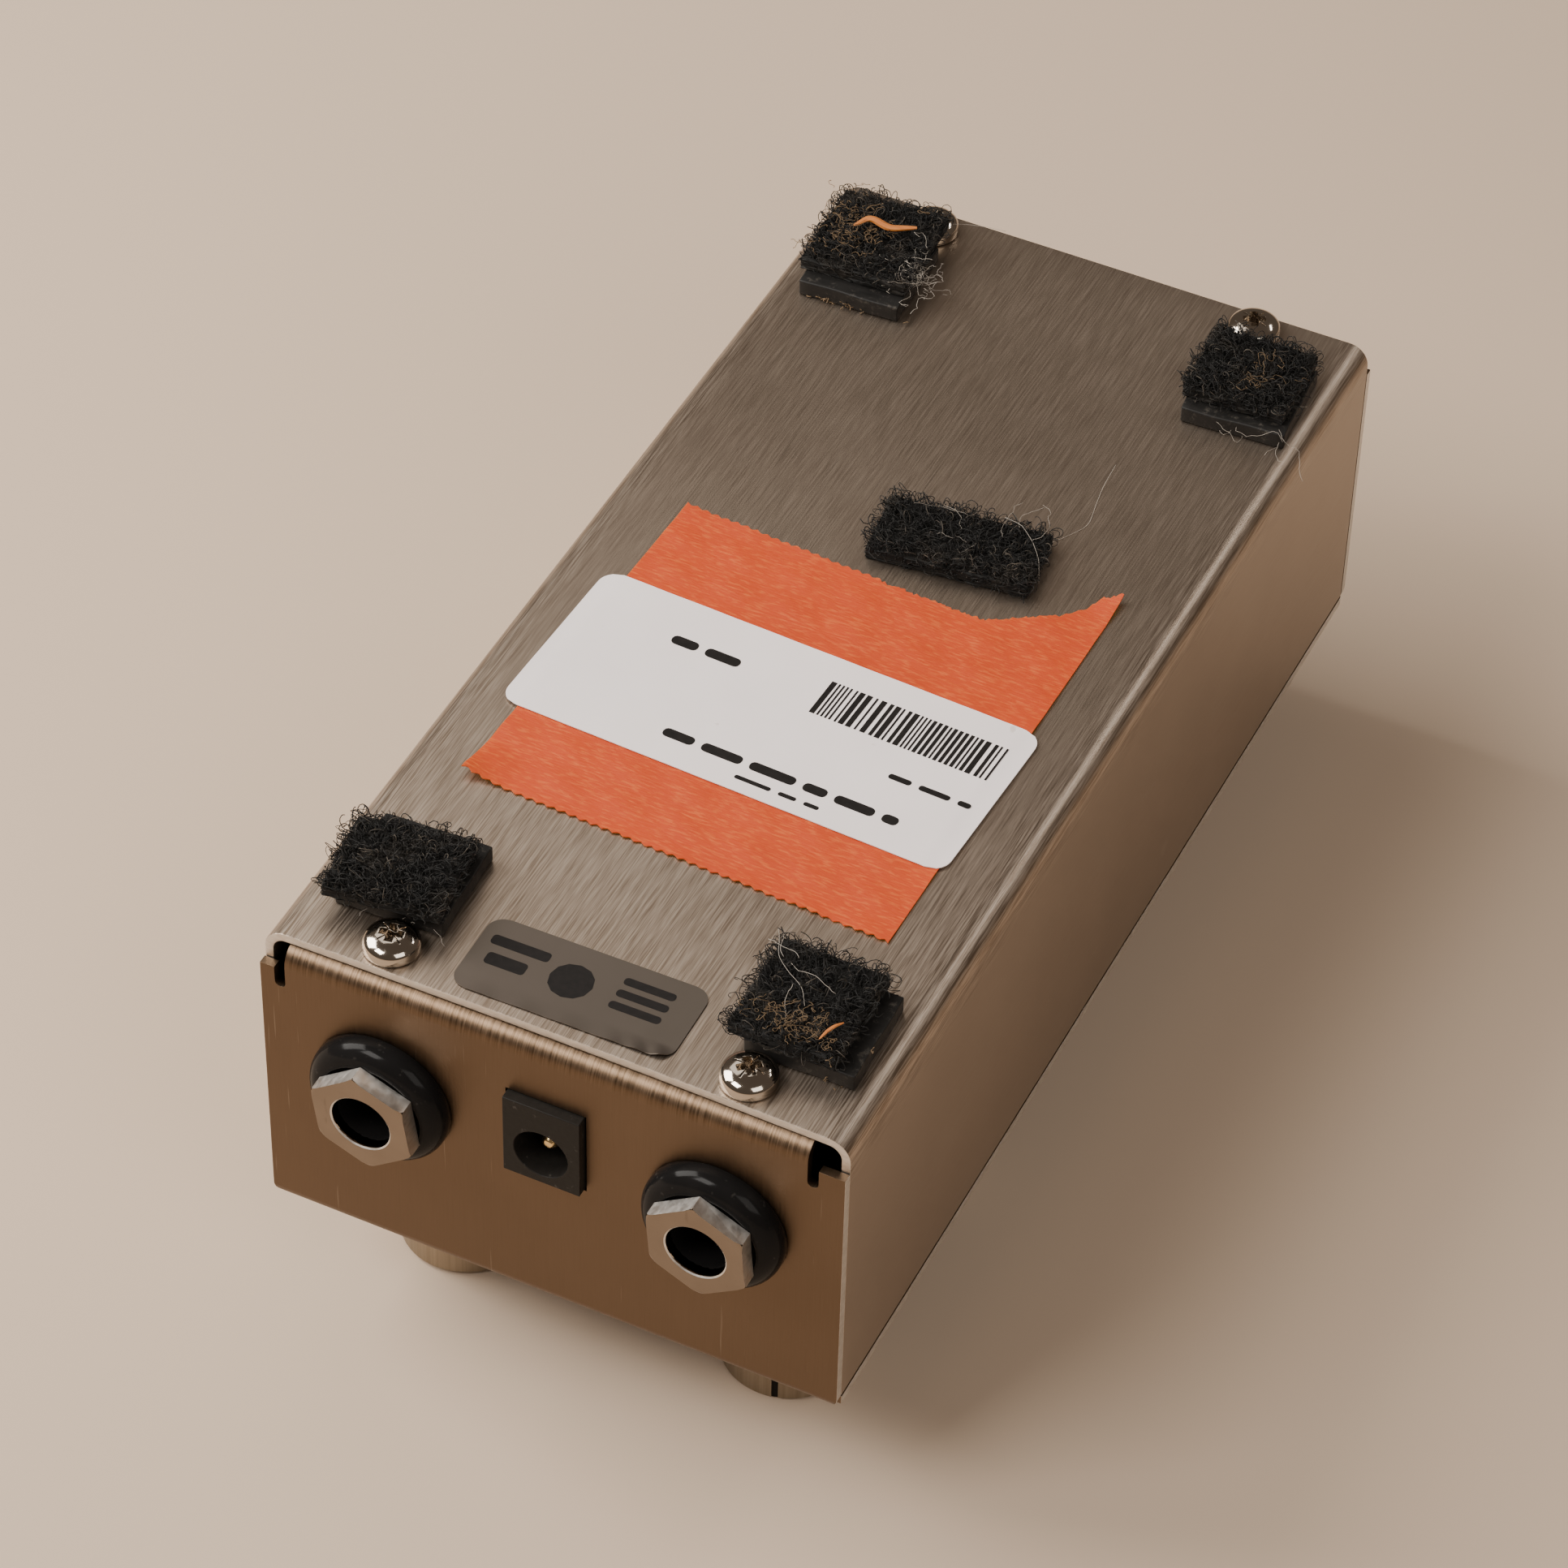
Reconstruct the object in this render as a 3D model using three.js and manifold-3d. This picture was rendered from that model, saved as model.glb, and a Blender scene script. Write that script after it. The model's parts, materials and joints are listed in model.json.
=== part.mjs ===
// A compact effects pedal for an instrument cable, lying on its control face: a folded sheet
// metal case with two 6.35 mm sockets and a power socket in one end, knobs and a footswitch
// underneath, and rubber feet, hook-and-loop pads, tape and labels on the base plate above.
// Millimetres, +Z up, +X across the case, the socket end faces -Y, z = 0 is the table.
import * as THREE from "three";
import { mergeVertices } from "three/addons/utils/BufferGeometryUtils.js";
import Module from "manifold-3d";

const wasm = await Module();
wasm.setup();

// Driving dimensions of the case.
const caseWidth = 64;
const sheet = 1;
const fitGap = 0.1;
const sideWallGap = 0.3;
const basePlateTop = 53.2;
const faceplateBottom = 15.2;
const coverFront = -63.8;
const coverLength = 132.4;
const endWallStep = 1.1;
const coverBend = 1.9;
const flangeBend = 1.7;
const lipBend = 1;
const flangeDepth = 10;

const coverRear = coverFront + coverLength;
const coverUnderside = basePlateTop - sheet;
const faceplateTop = faceplateBottom + sheet;
const endWallFront = coverFront - endWallStep;
const endWallRear = coverRear + endWallStep;

// The end wall is notched beside each flange, and a short tab stands outside each notch.
const flangeLeft = -29.2;
const flangeRight = 28;
const notchWidth = 1.2;
const notchFloor = 46.9;
const tabTop = 49.4;
const lowerCorner = 1.75;

// Sockets, in the end wall.
const socketHeight = 37.1;
const jackX = 18.5;
const jackBore = 3.2;
const jackSleeve = 4.1;
const collarRadius = 7.7;
const collarFront = -67.7;
const nutFront = -69.7;
const nutAcrossFlats = 10.4;
const powerX = -0.25;
const powerWidth = 8.5;
const powerBottom = 34.1;
const powerTop = 44.45;
const powerFront = -66.05;
const powerBoreHeight = 38.1;

// Controls, in the faceplate.
const knobX = 18.85;
const knobRows = [-47.95, -17.95];
const knobRadius = 7.2;
const knobTop = 14.4;
const shaftRadius = 2.9;
const potBushing = 3.5;
const footswitchY = 44;
const footswitchBushing = 6;
const plungerRadius = 4.5;
const lampY = 15;
const lampRadius = 2.45;

// Fasteners and boards.
const screwX = 19.5;
const screwInset = 3.4;
const screwShank = 1.45;
const screwHead = 2.95;
const mainBoardBottom = 23.5;
const jackBoardBottom = 27.6;
const boardThickness = 1.6;

const X = new THREE.Vector3(1, 0, 0);
const Y = new THREE.Vector3(0, 1, 0);
const Z = new THREE.Vector3(0, 0, 1);

const pedal = new THREE.Group();
pedal.name = "effects_pedal";

// ---- geometry helpers ----

// A closed geometry as a manifold solid; triangles that shrink to an edge at a pole are left out.
function solid(geometry) {
  const bare = new THREE.BufferGeometry();
  bare.setAttribute("position", geometry.getAttribute("position"));
  if (geometry.index) bare.setIndex(geometry.index);
  const merged = mergeVertices(bare, 1e-4);
  const index = merged.index.array;
  const faces = [];
  for (let i = 0; i < index.length; i += 3) {
    const [a, b, c] = index.slice(i, i + 3);
    if (a !== b && b !== c && c !== a) faces.push(a, b, c);
  }
  return new wasm.Manifold(
    new wasm.Mesh({
      numProp: 3,
      vertProperties: merged.attributes.position.array,
      triVerts: new Uint32Array(faces),
    }),
  );
}

function add(name, body, finish) {
  const made = body.getMesh();
  const geometry = new THREE.BufferGeometry();
  geometry.setAttribute("position", new THREE.BufferAttribute(made.vertProperties, 3));
  geometry.setIndex(new THREE.BufferAttribute(made.triVerts, 1));
  geometry.computeVertexNormals();
  const mesh = new THREE.Mesh(geometry, new THREE.MeshStandardMaterial(finish));
  mesh.name = name;
  pedal.add(mesh);
}

function box(x0, x1, y0, y1, z0, z1) {
  const geometry = new THREE.BoxGeometry(x1 - x0, y1 - y0, z1 - z0);
  return solid(geometry.translate((x0 + x1) / 2, (y0 + y1) / 2, (z0 + z1) / 2));
}

// A rod along Z; a turn in degrees places the first corner of a hexagon.
function rod(radius, x, y, z0, z1, sides = 24, turn = 0) {
  const geometry = new THREE.CylinderGeometry(radius, radius, z1 - z0, sides);
  geometry.rotateX(Math.PI / 2);
  geometry.rotateZ(THREE.MathUtils.degToRad(turn));
  return solid(geometry.translate(x, y, (z0 + z1) / 2));
}

// A rod along Y.
function crossRod(radius, x, z, y0, y1, sides = 24, turn = 0) {
  const geometry = new THREE.CylinderGeometry(radius, radius, y1 - y0, sides);
  geometry.rotateY(THREE.MathUtils.degToRad(turn));
  return solid(geometry.translate(x, (y0 + y1) / 2, z));
}

// A turned body on the Z axis, from a profile of [radius, height] that climbs its outer side.
function turned(profile, sides = 24) {
  const points = profile.map(([r, h]) => new THREE.Vector2(r, h));
  return solid(new THREE.LatheGeometry(points, sides).rotateX(Math.PI / 2));
}

// A quarter round from one [radius, height] point to another, for a turned profile.
function quarterRound(from, to, steps, startsUpright = true) {
  const points = [];
  for (let i = 1; i < steps; i++) {
    const angle = (Math.PI / 2) * (i / steps);
    const across = startsUpright ? 1 - Math.cos(angle) : Math.sin(angle);
    const along = startsUpright ? Math.sin(angle) : 1 - Math.cos(angle);
    points.push([from[0] + (to[0] - from[0]) * across, from[1] + (to[1] - from[1]) * along]);
  }
  return points;
}

function plate(outline, z0, z1, curveSegments = 4) {
  const options = { depth: z1 - z0, bevelEnabled: false, curveSegments };
  return solid(new THREE.ExtrudeGeometry(outline, options).translate(0, 0, z0));
}

function polygon(points) {
  return new THREE.Shape(points.map(([x, y]) => new THREE.Vector2(x, y)));
}

function roundedRectangle(width, length, radius) {
  const w = width / 2;
  const l = length / 2;
  const outline = new THREE.Shape();
  outline.moveTo(radius - w, -l);
  outline.lineTo(w - radius, -l);
  outline.absarc(w - radius, radius - l, radius, -Math.PI / 2, 0, false);
  outline.lineTo(w, l - radius);
  outline.absarc(w - radius, l - radius, radius, 0, Math.PI / 2, false);
  outline.lineTo(radius - w, l);
  outline.absarc(radius - w, l - radius, radius, Math.PI / 2, Math.PI, false);
  outline.lineTo(-w, radius - l);
  outline.absarc(radius - w, radius - l, radius, Math.PI, Math.PI * 1.5, false);
  return outline;
}

// The outline of a sheet bent at every inner corner of a route along the middle of its thickness.
// A corner is [u, v, bend radius].
function bentSheet(corners, thickness, steps = 6) {
  const left = [];
  const right = [];
  const place = (point, along) => {
    const side = new THREE.Vector2(-along.y, along.x).multiplyScalar(thickness / 2);
    left.push(point.clone().add(side));
    right.unshift(point.clone().sub(side));
  };
  const points = corners.map(([u, v]) => new THREE.Vector2(u, v));
  const last = points.length - 1;
  const heading = (i) => points[i + 1].clone().sub(points[i]).normalize();
  place(points[0], heading(0));
  for (let i = 1; i < last; i++) {
    const incoming = heading(i - 1);
    const outgoing = heading(i);
    const turn = Math.atan2(incoming.cross(outgoing), incoming.dot(outgoing));
    const radius = corners[i][2];
    const setback = radius * Math.tan(Math.abs(turn) / 2);
    const inward = new THREE.Vector2(-incoming.y, incoming.x).multiplyScalar(Math.sign(turn));
    const centre = points[i].clone().addScaledVector(incoming, -setback).addScaledVector(inward, radius);
    for (let k = 0; k <= steps; k++) {
      const swing = (turn * k) / steps;
      const spoke = inward.clone().rotateAround(new THREE.Vector2(), swing).multiplyScalar(-radius);
      const along = incoming.clone().rotateAround(new THREE.Vector2(), swing);
      place(centre.clone().add(spoke), along);
    }
  }
  place(points[last], heading(last - 1));
  return new THREE.Shape(left.concat(right));
}

// An outline in the Y-Z plane carried along X, and one in the X-Z plane carried along Y.
function carriedAcross(outline, x0, x1) {
  const geometry = new THREE.ExtrudeGeometry(outline, { depth: x1 - x0, bevelEnabled: false });
  geometry.applyMatrix4(new THREE.Matrix4().makeBasis(Y, Z, X));
  return solid(geometry.translate(x0, 0, 0));
}

function carriedAlong(outline, y0, y1) {
  const geometry = new THREE.ExtrudeGeometry(outline, { depth: y1 - y0, bevelEnabled: false });
  geometry.applyMatrix4(new THREE.Matrix4().makeBasis(X, Z, Y.clone().negate()));
  return solid(geometry.translate(0, y1, 0));
}

// ---- finishes ----

const stainless = { color: 0x8d867c, roughness: 0.38, metalness: 1 };
const chrome = { color: 0xd2d3d4, roughness: 0.14, metalness: 1 };
const steel = { color: 0xa9a9a6, roughness: 0.3, metalness: 1 };
const brass = { color: 0xc8a45a, roughness: 0.3, metalness: 1 };
const turnedAluminium = { color: 0x9c978d, roughness: 0.4, metalness: 1 };
const glossyBlack = { color: 0x0c0c0d, roughness: 0.16, metalness: 0 };
const mattBlack = { color: 0x17171a, roughness: 0.6, metalness: 0 };
const rubber = { color: 0x1b1a1a, roughness: 0.72, metalness: 0 };
const loopFabric = { color: 0x242325, roughness: 1, metalness: 0 };
const maskingPaper = { color: 0xd9662a, roughness: 0.75, metalness: 0 };
const whitePaper = { color: 0xd9d4c8, roughness: 0.7, metalness: 0 };
const silverFoil = { color: 0x8f887c, roughness: 0.45, metalness: 0.3 };
const fibreglass = { color: 0x1d4a33, roughness: 0.5, metalness: 0 };
const redLens = { color: 0xa3120f, roughness: 0.2, metalness: 0 };
const greyCable = { color: 0x7d8084, roughness: 0.6, metalness: 0 };

// ---- the case ----

const flangeMiddle = coverUnderside - fitGap - sheet / 2;
const screwRows = [coverFront + screwInset, coverRear - screwInset];
const screwPlaces = screwRows.flatMap((y) => [-screwX, screwX].map((x) => [x, y]));
const knobPlaces = knobRows.flatMap((y) => [-knobX, knobX].map((x) => [x, y]));

function chassis() {
  const frontMiddle = endWallFront + sheet / 2;
  const rearMiddle = endWallRear - sheet / 2;
  const floorMiddle = faceplateBottom + sheet / 2;
  const route = [
    [endWallFront + flangeDepth, flangeMiddle],
    [frontMiddle, flangeMiddle, flangeBend],
    [frontMiddle, floorMiddle, lipBend],
    [rearMiddle, floorMiddle, lipBend],
    [rearMiddle, flangeMiddle, flangeBend],
    [endWallRear - flangeDepth, flangeMiddle],
  ];
  const half = caseWidth / 2;
  let body = carriedAcross(bentSheet(route, sheet), -half, half);
  const cut = (tool) => {
    body = body.subtract(tool);
  };
  const front = endWallFront - 1;
  const rear = endWallRear + 1;
  for (const side of [-1, 1]) {
    const flangeEdge = side < 0 ? flangeLeft : flangeRight;
    const outside = side * (half + 1);
    const notchMiddle = flangeEdge + (side * notchWidth) / 2;
    const notchEdges = [notchMiddle - notchWidth / 2, notchMiddle + notchWidth / 2];
    const stripEdges = [flangeEdge, outside].sort((a, b) => a - b);
    const floor = notchFloor + notchWidth / 2;
    cut(box(...stripEdges, front, rear, tabTop, basePlateTop));
    cut(box(...notchEdges, front, rear, floor, basePlateTop));
    cut(crossRod(notchWidth / 2, notchMiddle, floor, front, rear, 12));
    // the end wall's lower corners are rounded, beyond the bend only
    const cornerX = side * (half - lowerCorner);
    const cornerZ = faceplateBottom + lowerCorner;
    const cornerEdges = [cornerX, outside].sort((a, b) => a - b);
    const round = crossRod(lowerCorner, cornerX, cornerZ, front, rear, 32);
    for (const [y0, y1] of [[front, coverFront], [coverRear, rear]])
      cut(box(...cornerEdges, y0, y1, faceplateBottom - 1, cornerZ).subtract(round));
  }
  for (const [x, y] of screwPlaces) cut(rod(1.6, x, y, coverUnderside - 2, coverUnderside, 16));
  for (const x of [-jackX, jackX]) cut(crossRod(4.7, x, socketHeight, front, coverFront, 24));
  const powerHalf = powerWidth / 2 + 0.2;
  const powerHole = [powerX - powerHalf, powerX + powerHalf];
  cut(box(...powerHole, front, coverFront, powerBottom - 0.2, powerTop + 0.2));
  const floorHoles = knobPlaces.map(([x, y]) => [x, y, potBushing + 0.3]);
  floorHoles.push([0, footswitchY, footswitchBushing + 0.3], [0, lampY, 3.6]);
  for (const [x, y, r] of floorHoles) cut(rod(r, x, y, faceplateBottom - 1, faceplateTop + 1, 20));
  add("chassis", body, stainless);
}

function bottomCover() {
  const side = caseWidth / 2 - sheet / 2;
  const top = basePlateTop - sheet / 2;
  const edge = faceplateTop + sideWallGap;
  const route = [[-side, edge], [-side, top, coverBend], [side, top, coverBend], [side, edge]];
  let body = carriedAlong(bentSheet(route, sheet, 8), coverFront, coverRear);
  for (const [x, y] of screwPlaces)
    body = body.subtract(rod(1.75, x, y, coverUnderside - 1, basePlateTop + 1, 16));
  add("bottom_cover", body, stainless);
}

// ---- screws through the base plate, and the press nuts under the flanges ----

function coverScrews() {
  const seat = basePlateTop + 0.05;
  const rim = seat + 0.9;
  const crown = seat + 2.05;
  const tip = coverUnderside - 5.2;
  const headRound = quarterRound([screwHead, rim], [1.2, crown], 4);
  const profile = [
    [0, tip],
    [screwShank - 0.3, tip],
    [screwShank, tip + 0.5],
    [screwShank, seat],
    [screwHead, seat],
    [screwHead, rim],
    ...headRound,
    [1.2, crown],
    [0, crown],
  ];
  const blade = new THREE.BoxGeometry(3.2, 0.75, 2.2);
  const slot = solid(blade.clone().translate(0, 0, crown));
  const crossSlot = solid(blade.rotateZ(Math.PI / 2).translate(0, 0, crown));
  const screw = turned(profile, 20).subtract(slot.add(crossSlot));
  screwPlaces.forEach(([x, y], i) => add(`cover_screw_${i + 1}`, screw.translate([x, y, 0]), steel));
}

function flangeNuts() {
  const top = flangeMiddle - sheet / 2 - 0.05;
  screwPlaces.forEach(([x, y], i) => {
    const nut = rod(2.8, x, y, top - 2.8, top, 6).subtract(rod(1.6, x, y, top - 4, top + 1, 16));
    add(`flange_nut_${i + 1}`, nut, steel);
  });
}

// ---- feet, pads, tape and labels on the base plate ----

// Each foot is [rubber x, y, turn] and [loop pad x, y, turn, width, length]; turns in degrees.
const rubberSize = 11.8;
const rubberThickness = 1.95;
const feet = [
  [[-21.9, -51.45, 3], [-22.7, -53, 8, 12.6, 10.6]],
  [[23.1, -51.35, 1], [21.3, -51.1, 0, 11.6, 12.8]],
  [[-22.3, 54.4, 2], [-22.9, 57.2, 3, 12.6, 13.6]],
  [[23.6, 54, 4], [23.1, 55.2, 2, 11.7, 11.2]],
];

function footPads() {
  const rubberTop = basePlateTop + 0.05 + rubberThickness;
  const padBottom = rubberTop + 0.1;
  const padTop = basePlateTop + 4.2;
  feet.forEach(([foot, pad], i) => {
    const upright = roundedRectangle(rubberSize, rubberSize, 0.6);
    const block = plate(upright, basePlateTop + 0.05, rubberTop, 3);
    add(`rubber_foot_${i + 1}`, block.rotate([0, 0, foot[2]]).translate([foot[0], foot[1], 0]), rubber);
    const loops = plate(roundedRectangle(pad[3], pad[4], 0.8), padBottom, padTop, 3);
    add(`loop_pad_${i + 1}`, loops.rotate([0, 0, pad[2]]).translate([pad[0], pad[1], 0]), loopFabric);
  });
  const strip = plate(roundedRectangle(18.2, 9, 0.8), basePlateTop + 0.1, basePlateTop + 2.2, 3);
  add("loop_strip", strip.rotate([0, 0, 6]).translate([5.7, 17.6, 0]), loopFabric);
}

function tapeAndLabels() {
  // the far edge is torn: it runs level, then climbs to a tail along the right side
  const tape = polygon([
    [-25, -35.5],
    [23.6, -37.6],
    [24.3, 18.8],
    [22.4, 17.7],
    [21.3, 15.4],
    [19.4, 13.3],
    [15.1, 10.6],
    [12.4, 8.9],
    [-3.9, 9.7],
    [-23.1, 11],
  ]);
  add("masking_tape", plate(tape, basePlateTop + 0.05, basePlateTop + 0.2), maskingPaper);
  const paper = roundedRectangle(51.2, 22.5, 1.4);
  const label = plate(paper, basePlateTop + 0.25, basePlateTop + 0.37, 4);
  add("paper_label", label.rotate([0, 0, -2.6]).translate([-0.7, -14.5, 0]), whitePaper);
  const foil = plate(roundedRectangle(24, 10, 1.8), basePlateTop + 0.05, basePlateTop + 0.17, 4);
  add("compliance_label", foil.rotate([0, 0, 0.7]).translate([-0.5, -56.9, 0]), silverFoil);
}

// ---- sockets in the end wall ----

// A turned body whose Z axis becomes the direction out of the end wall.
function facingOut(body, x, y) {
  return body.rotate([90, 0, 0]).translate([x, y, socketHeight]);
}

function instrumentSockets() {
  const wallInside = endWallFront + sheet;
  const bodyFront = wallInside + 0.3;
  const bodyRear = bodyFront + 22;
  const bodyTop = 44.5;
  const bodyBottom = jackBoardBottom + boardThickness + 0.5;
  const sleeveEnd = collarFront - 0.9;
  const collarThickness = endWallFront - 0.05 - collarFront;
  const collarShoulder = [collarRadius, 0.9];
  const collarCrown = [collarRadius - 1.9, collarThickness];
  const collar = turned([
    [jackSleeve + 0.3, 0],
    [collarRadius, 0],
    collarShoulder,
    ...quarterRound(collarShoulder, collarCrown, 5),
    collarCrown,
    [jackSleeve + 0.3, collarThickness],
    [jackSleeve + 0.3, 0],
  ], 32);
  const nutThickness = collarFront - 0.05 - nutFront;
  const nutCorner = nutAcrossFlats / Math.sqrt(3);
  const chamfer = turned([
    [0, 0],
    [nutCorner + 0.1, 0],
    [nutCorner + 0.1, nutThickness - 0.62],
    [nutAcrossFlats / 2 + 0.1, nutThickness],
    [0, nutThickness],
  ], 36);
  const nutBore = turned([
    [0, -1],
    [jackSleeve + 0.3, -1],
    [jackSleeve + 0.3, 1.1],
    [jackBore, 1.1],
    [jackBore, nutThickness - 0.6],
    [jackBore + 0.5, nutThickness],
    [jackBore + 0.5, nutThickness + 1],
    [0, nutThickness + 1],
  ], 24);
  const corners = [8, 4.5];
  [-jackX, jackX].forEach((x, i) => {
    let body = box(x - 8, x + 8, bodyFront, bodyRear, bodyBottom, bodyTop);
    body = body.add(crossRod(jackSleeve, x, socketHeight, sleeveEnd, bodyFront + 1, 24));
    body = body.subtract(crossRod(jackBore, x, socketHeight, sleeveEnd - 1, bodyRear - 4, 24));
    add(`jack_body_${i + 1}`, body, glossyBlack);
    add(`jack_collar_${i + 1}`, facingOut(collar, x, endWallFront - 0.05), glossyBlack);
    const hexagon = rod(nutCorner, 0, 0, 0, nutThickness, 6, corners[i]);
    const nut = hexagon.intersect(chamfer).subtract(nutBore);
    add(`jack_nut_${i + 1}`, facingOut(nut, x, collarFront - 0.05), chrome);
    const leaf = [[bodyRear - 3, bodyTop + 0.6], [bodyRear + 0.6, bodyTop + 0.6, 0.5]];
    leaf.push([bodyRear + 0.6, jackBoardBottom + boardThickness + 0.3]);
    add(`jack_contact_${i + 1}`, carriedAcross(bentSheet(leaf, 0.4, 3), x - 2, x + 2), brass);
  });
}

function powerSocket() {
  const wallInside = endWallFront + sheet;
  const rear = wallInside + 12;
  const left = powerX - powerWidth / 2;
  const right = powerX + powerWidth / 2;
  const boreX = powerX - 0.04;
  const boreEnd = powerFront + 10;
  let body = box(left, right, powerFront, rear, powerBottom, powerTop);
  body = body.add(box(left - 0.4, right + 0.4, wallInside + 0.3, rear, 29.6, powerTop - 0.2));
  body = body.subtract(crossRod(3, boreX, powerBoreHeight, powerFront - 1, boreEnd, 28));
  body = body.subtract(crossRod(1.2, boreX, powerBoreHeight, boreEnd - 1, rear + 1, 12));
  add("dc_jack_body", body, mattBlack);
  const pinLength = rear + 0.6 - (coverFront - 0.75);
  const profile = [[0, 0], [0.9, 0], [0.9, pinLength - 0.5], [0.45, pinLength], [0, pinLength]];
  const pin = turned(profile, 14).rotate([90, 0, 0]);
  add("dc_jack_pin", pin.translate([boreX, rear + 0.6, powerBoreHeight]), brass);
}

// ---- boards ----

function boards() {
  const mainTop = mainBoardBottom + boardThickness;
  const jackTop = jackBoardBottom + boardThickness;
  add("main_board", box(-29, 29, -61, 24, mainBoardBottom, mainTop), fibreglass);
  add("jack_board", box(-29.5, 29.5, -62.5, -38, jackBoardBottom, jackTop), fibreglass);
  add("board_header", box(-10, 10, -44, -41.5, mainTop + 0.1, jackBoardBottom - 0.1), mattBlack);
  const footBoard = [33.2, 33.2 + boardThickness];
  add("footswitch_board", box(-10, 10, 34, 54, ...footBoard), fibreglass);
  const ribbonStart = [17, mainTop + 0.75];
  const ribbonEnd = [40, footBoard[1] + 0.75];
  const bend = 3;
  const ribbon = [ribbonStart, [26.5, ribbonStart[1], bend], [31, ribbonEnd[1], bend], ribbonEnd];
  add("ribbon_cable", carriedAcross(bentSheet(ribbon, 0.9, 4), -4.5, 4.5), greyCable);
}

// ---- controls ----

function pots() {
  const bodyBottom = faceplateTop + 0.3;
  const bodyTop = mainBoardBottom - 0.4;
  const nutTop = faceplateBottom - 0.1;
  knobPlaces.forEach(([x, y], i) => {
    let body = box(x - 5, x + 5, y - 5.5, y + 6, bodyBottom, bodyTop);
    body = body.add(rod(potBushing, x, y, 10.2, bodyBottom + 1));
    body = body.subtract(rod(shaftRadius + 0.25, x, y, 9, bodyTop + 1));
    add(`pot_body_${i + 1}`, body, steel);
    add(`pot_shaft_${i + 1}`, rod(shaftRadius, x, y, 4, bodyTop - 0.5), turnedAluminium);
    const nut = rod(5.7, x, y, nutTop - 2, nutTop, 6).subtract(rod(potBushing + 0.3, x, y, 11, 17));
    add(`pot_nut_${i + 1}`, nut, steel);
  });
}

function knobs() {
  const chamfer = 0.5;
  const profile = [
    [0, 0],
    [knobRadius - chamfer, 0],
    [knobRadius, chamfer],
    [knobRadius, knobTop],
    [6.2, knobTop],
    [6.2, 9.6],
    [shaftRadius + 0.3, 9.6],
    [shaftRadius + 0.3, 3.5],
    [0, 3.5],
  ];
  const pointer = box(knobRadius - 0.35, knobRadius + 1, -0.35, 0.35, -1, knobTop + 1);
  const knob = turned(profile, 40).subtract(pointer);
  // each knob is left at its own setting, given as the pointer's direction in degrees
  const settings = [15, -76, -150, -45];
  knobPlaces.forEach(([x, y], i) => {
    const set = knob.rotate([0, 0, settings[i]]);
    add(`knob_${i + 1}`, set.translate([x, y, 0]), turnedAluminium);
  });
}

function footswitch() {
  const bodyBottom = 17.9;
  const bodyTop = 32.4;
  const half = 8.7;
  const collarRoom = 5.7;
  const ceiling = 30;
  const place = (body) => body.translate([0, footswitchY, 0]);
  let body = box(-half, half, -half, half, bodyBottom, bodyTop);
  for (const x of [-5, 0, 5])
    for (const y of [-5, 0, 5]) body = body.add(box(x - 1, x + 1, y - 0.3, y + 0.3, bodyTop - 1, 33));
  body = body.subtract(rod(collarRoom, 0, 0, bodyBottom - 1, ceiling));
  add("footswitch_body", place(body), mattBlack);

  const bore = plungerRadius + 0.3;
  const flangeBottom = faceplateTop + 0.2;
  const flangeTop = bodyBottom - 0.3;
  const bushing = turned([
    [bore, 4.6],
    [footswitchBushing - 0.5, 4.6],
    [footswitchBushing, 5.1],
    [footswitchBushing, flangeBottom],
    [half - 0.4, flangeBottom],
    [half - 0.4, flangeTop],
    [bore, flangeTop],
    [bore, 4.6],
  ]);
  add("footswitch_bushing", place(bushing), chrome);

  const nut = rod(8.3, 0, 0, 12.4, faceplateBottom - 0.1, 6);
  const threadRoom = rod(footswitchBushing + 0.3, 0, 0, 12, 16);
  add("footswitch_nut", place(nut.subtract(threadRoom)), chrome);

  const retainer = bodyBottom + 0.2;
  const top = 19.6;
  const plunger = turned([
    [0, 0],
    [2.6, 0],
    ...quarterRound([2.6, 0], [plungerRadius, 1.5], 4, false),
    [plungerRadius, 1.5],
    [plungerRadius, retainer],
    [collarRoom - 0.35, retainer],
    [collarRoom - 0.35, top],
    [0, top],
  ]);
  add("footswitch_plunger", place(plunger), chrome);

  // the spring's wire climbs inside the switch from the plunger to the ceiling
  const coils = 4.5;
  const coilRadius = 3.4;
  const wire = 0.35;
  const points = [];
  for (let i = 0; i <= coils * 12; i++) {
    const angle = (i / 12) * Math.PI * 2;
    const height = top + 0.5 + ((ceiling - top - 1) * i) / (coils * 12);
    points.push(new THREE.Vector3(coilRadius * Math.cos(angle), coilRadius * Math.sin(angle), height));
  }
  const section = new THREE.Shape().absarc(0, 0, wire, 0, Math.PI * 2);
  const spring = new THREE.ExtrudeGeometry(section, {
    extrudePath: new THREE.CatmullRomCurve3(points),
    steps: 70,
    curveSegments: 3,
    bevelEnabled: false,
  });
  add("footswitch_spring", place(solid(spring)), steel);
}

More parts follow.
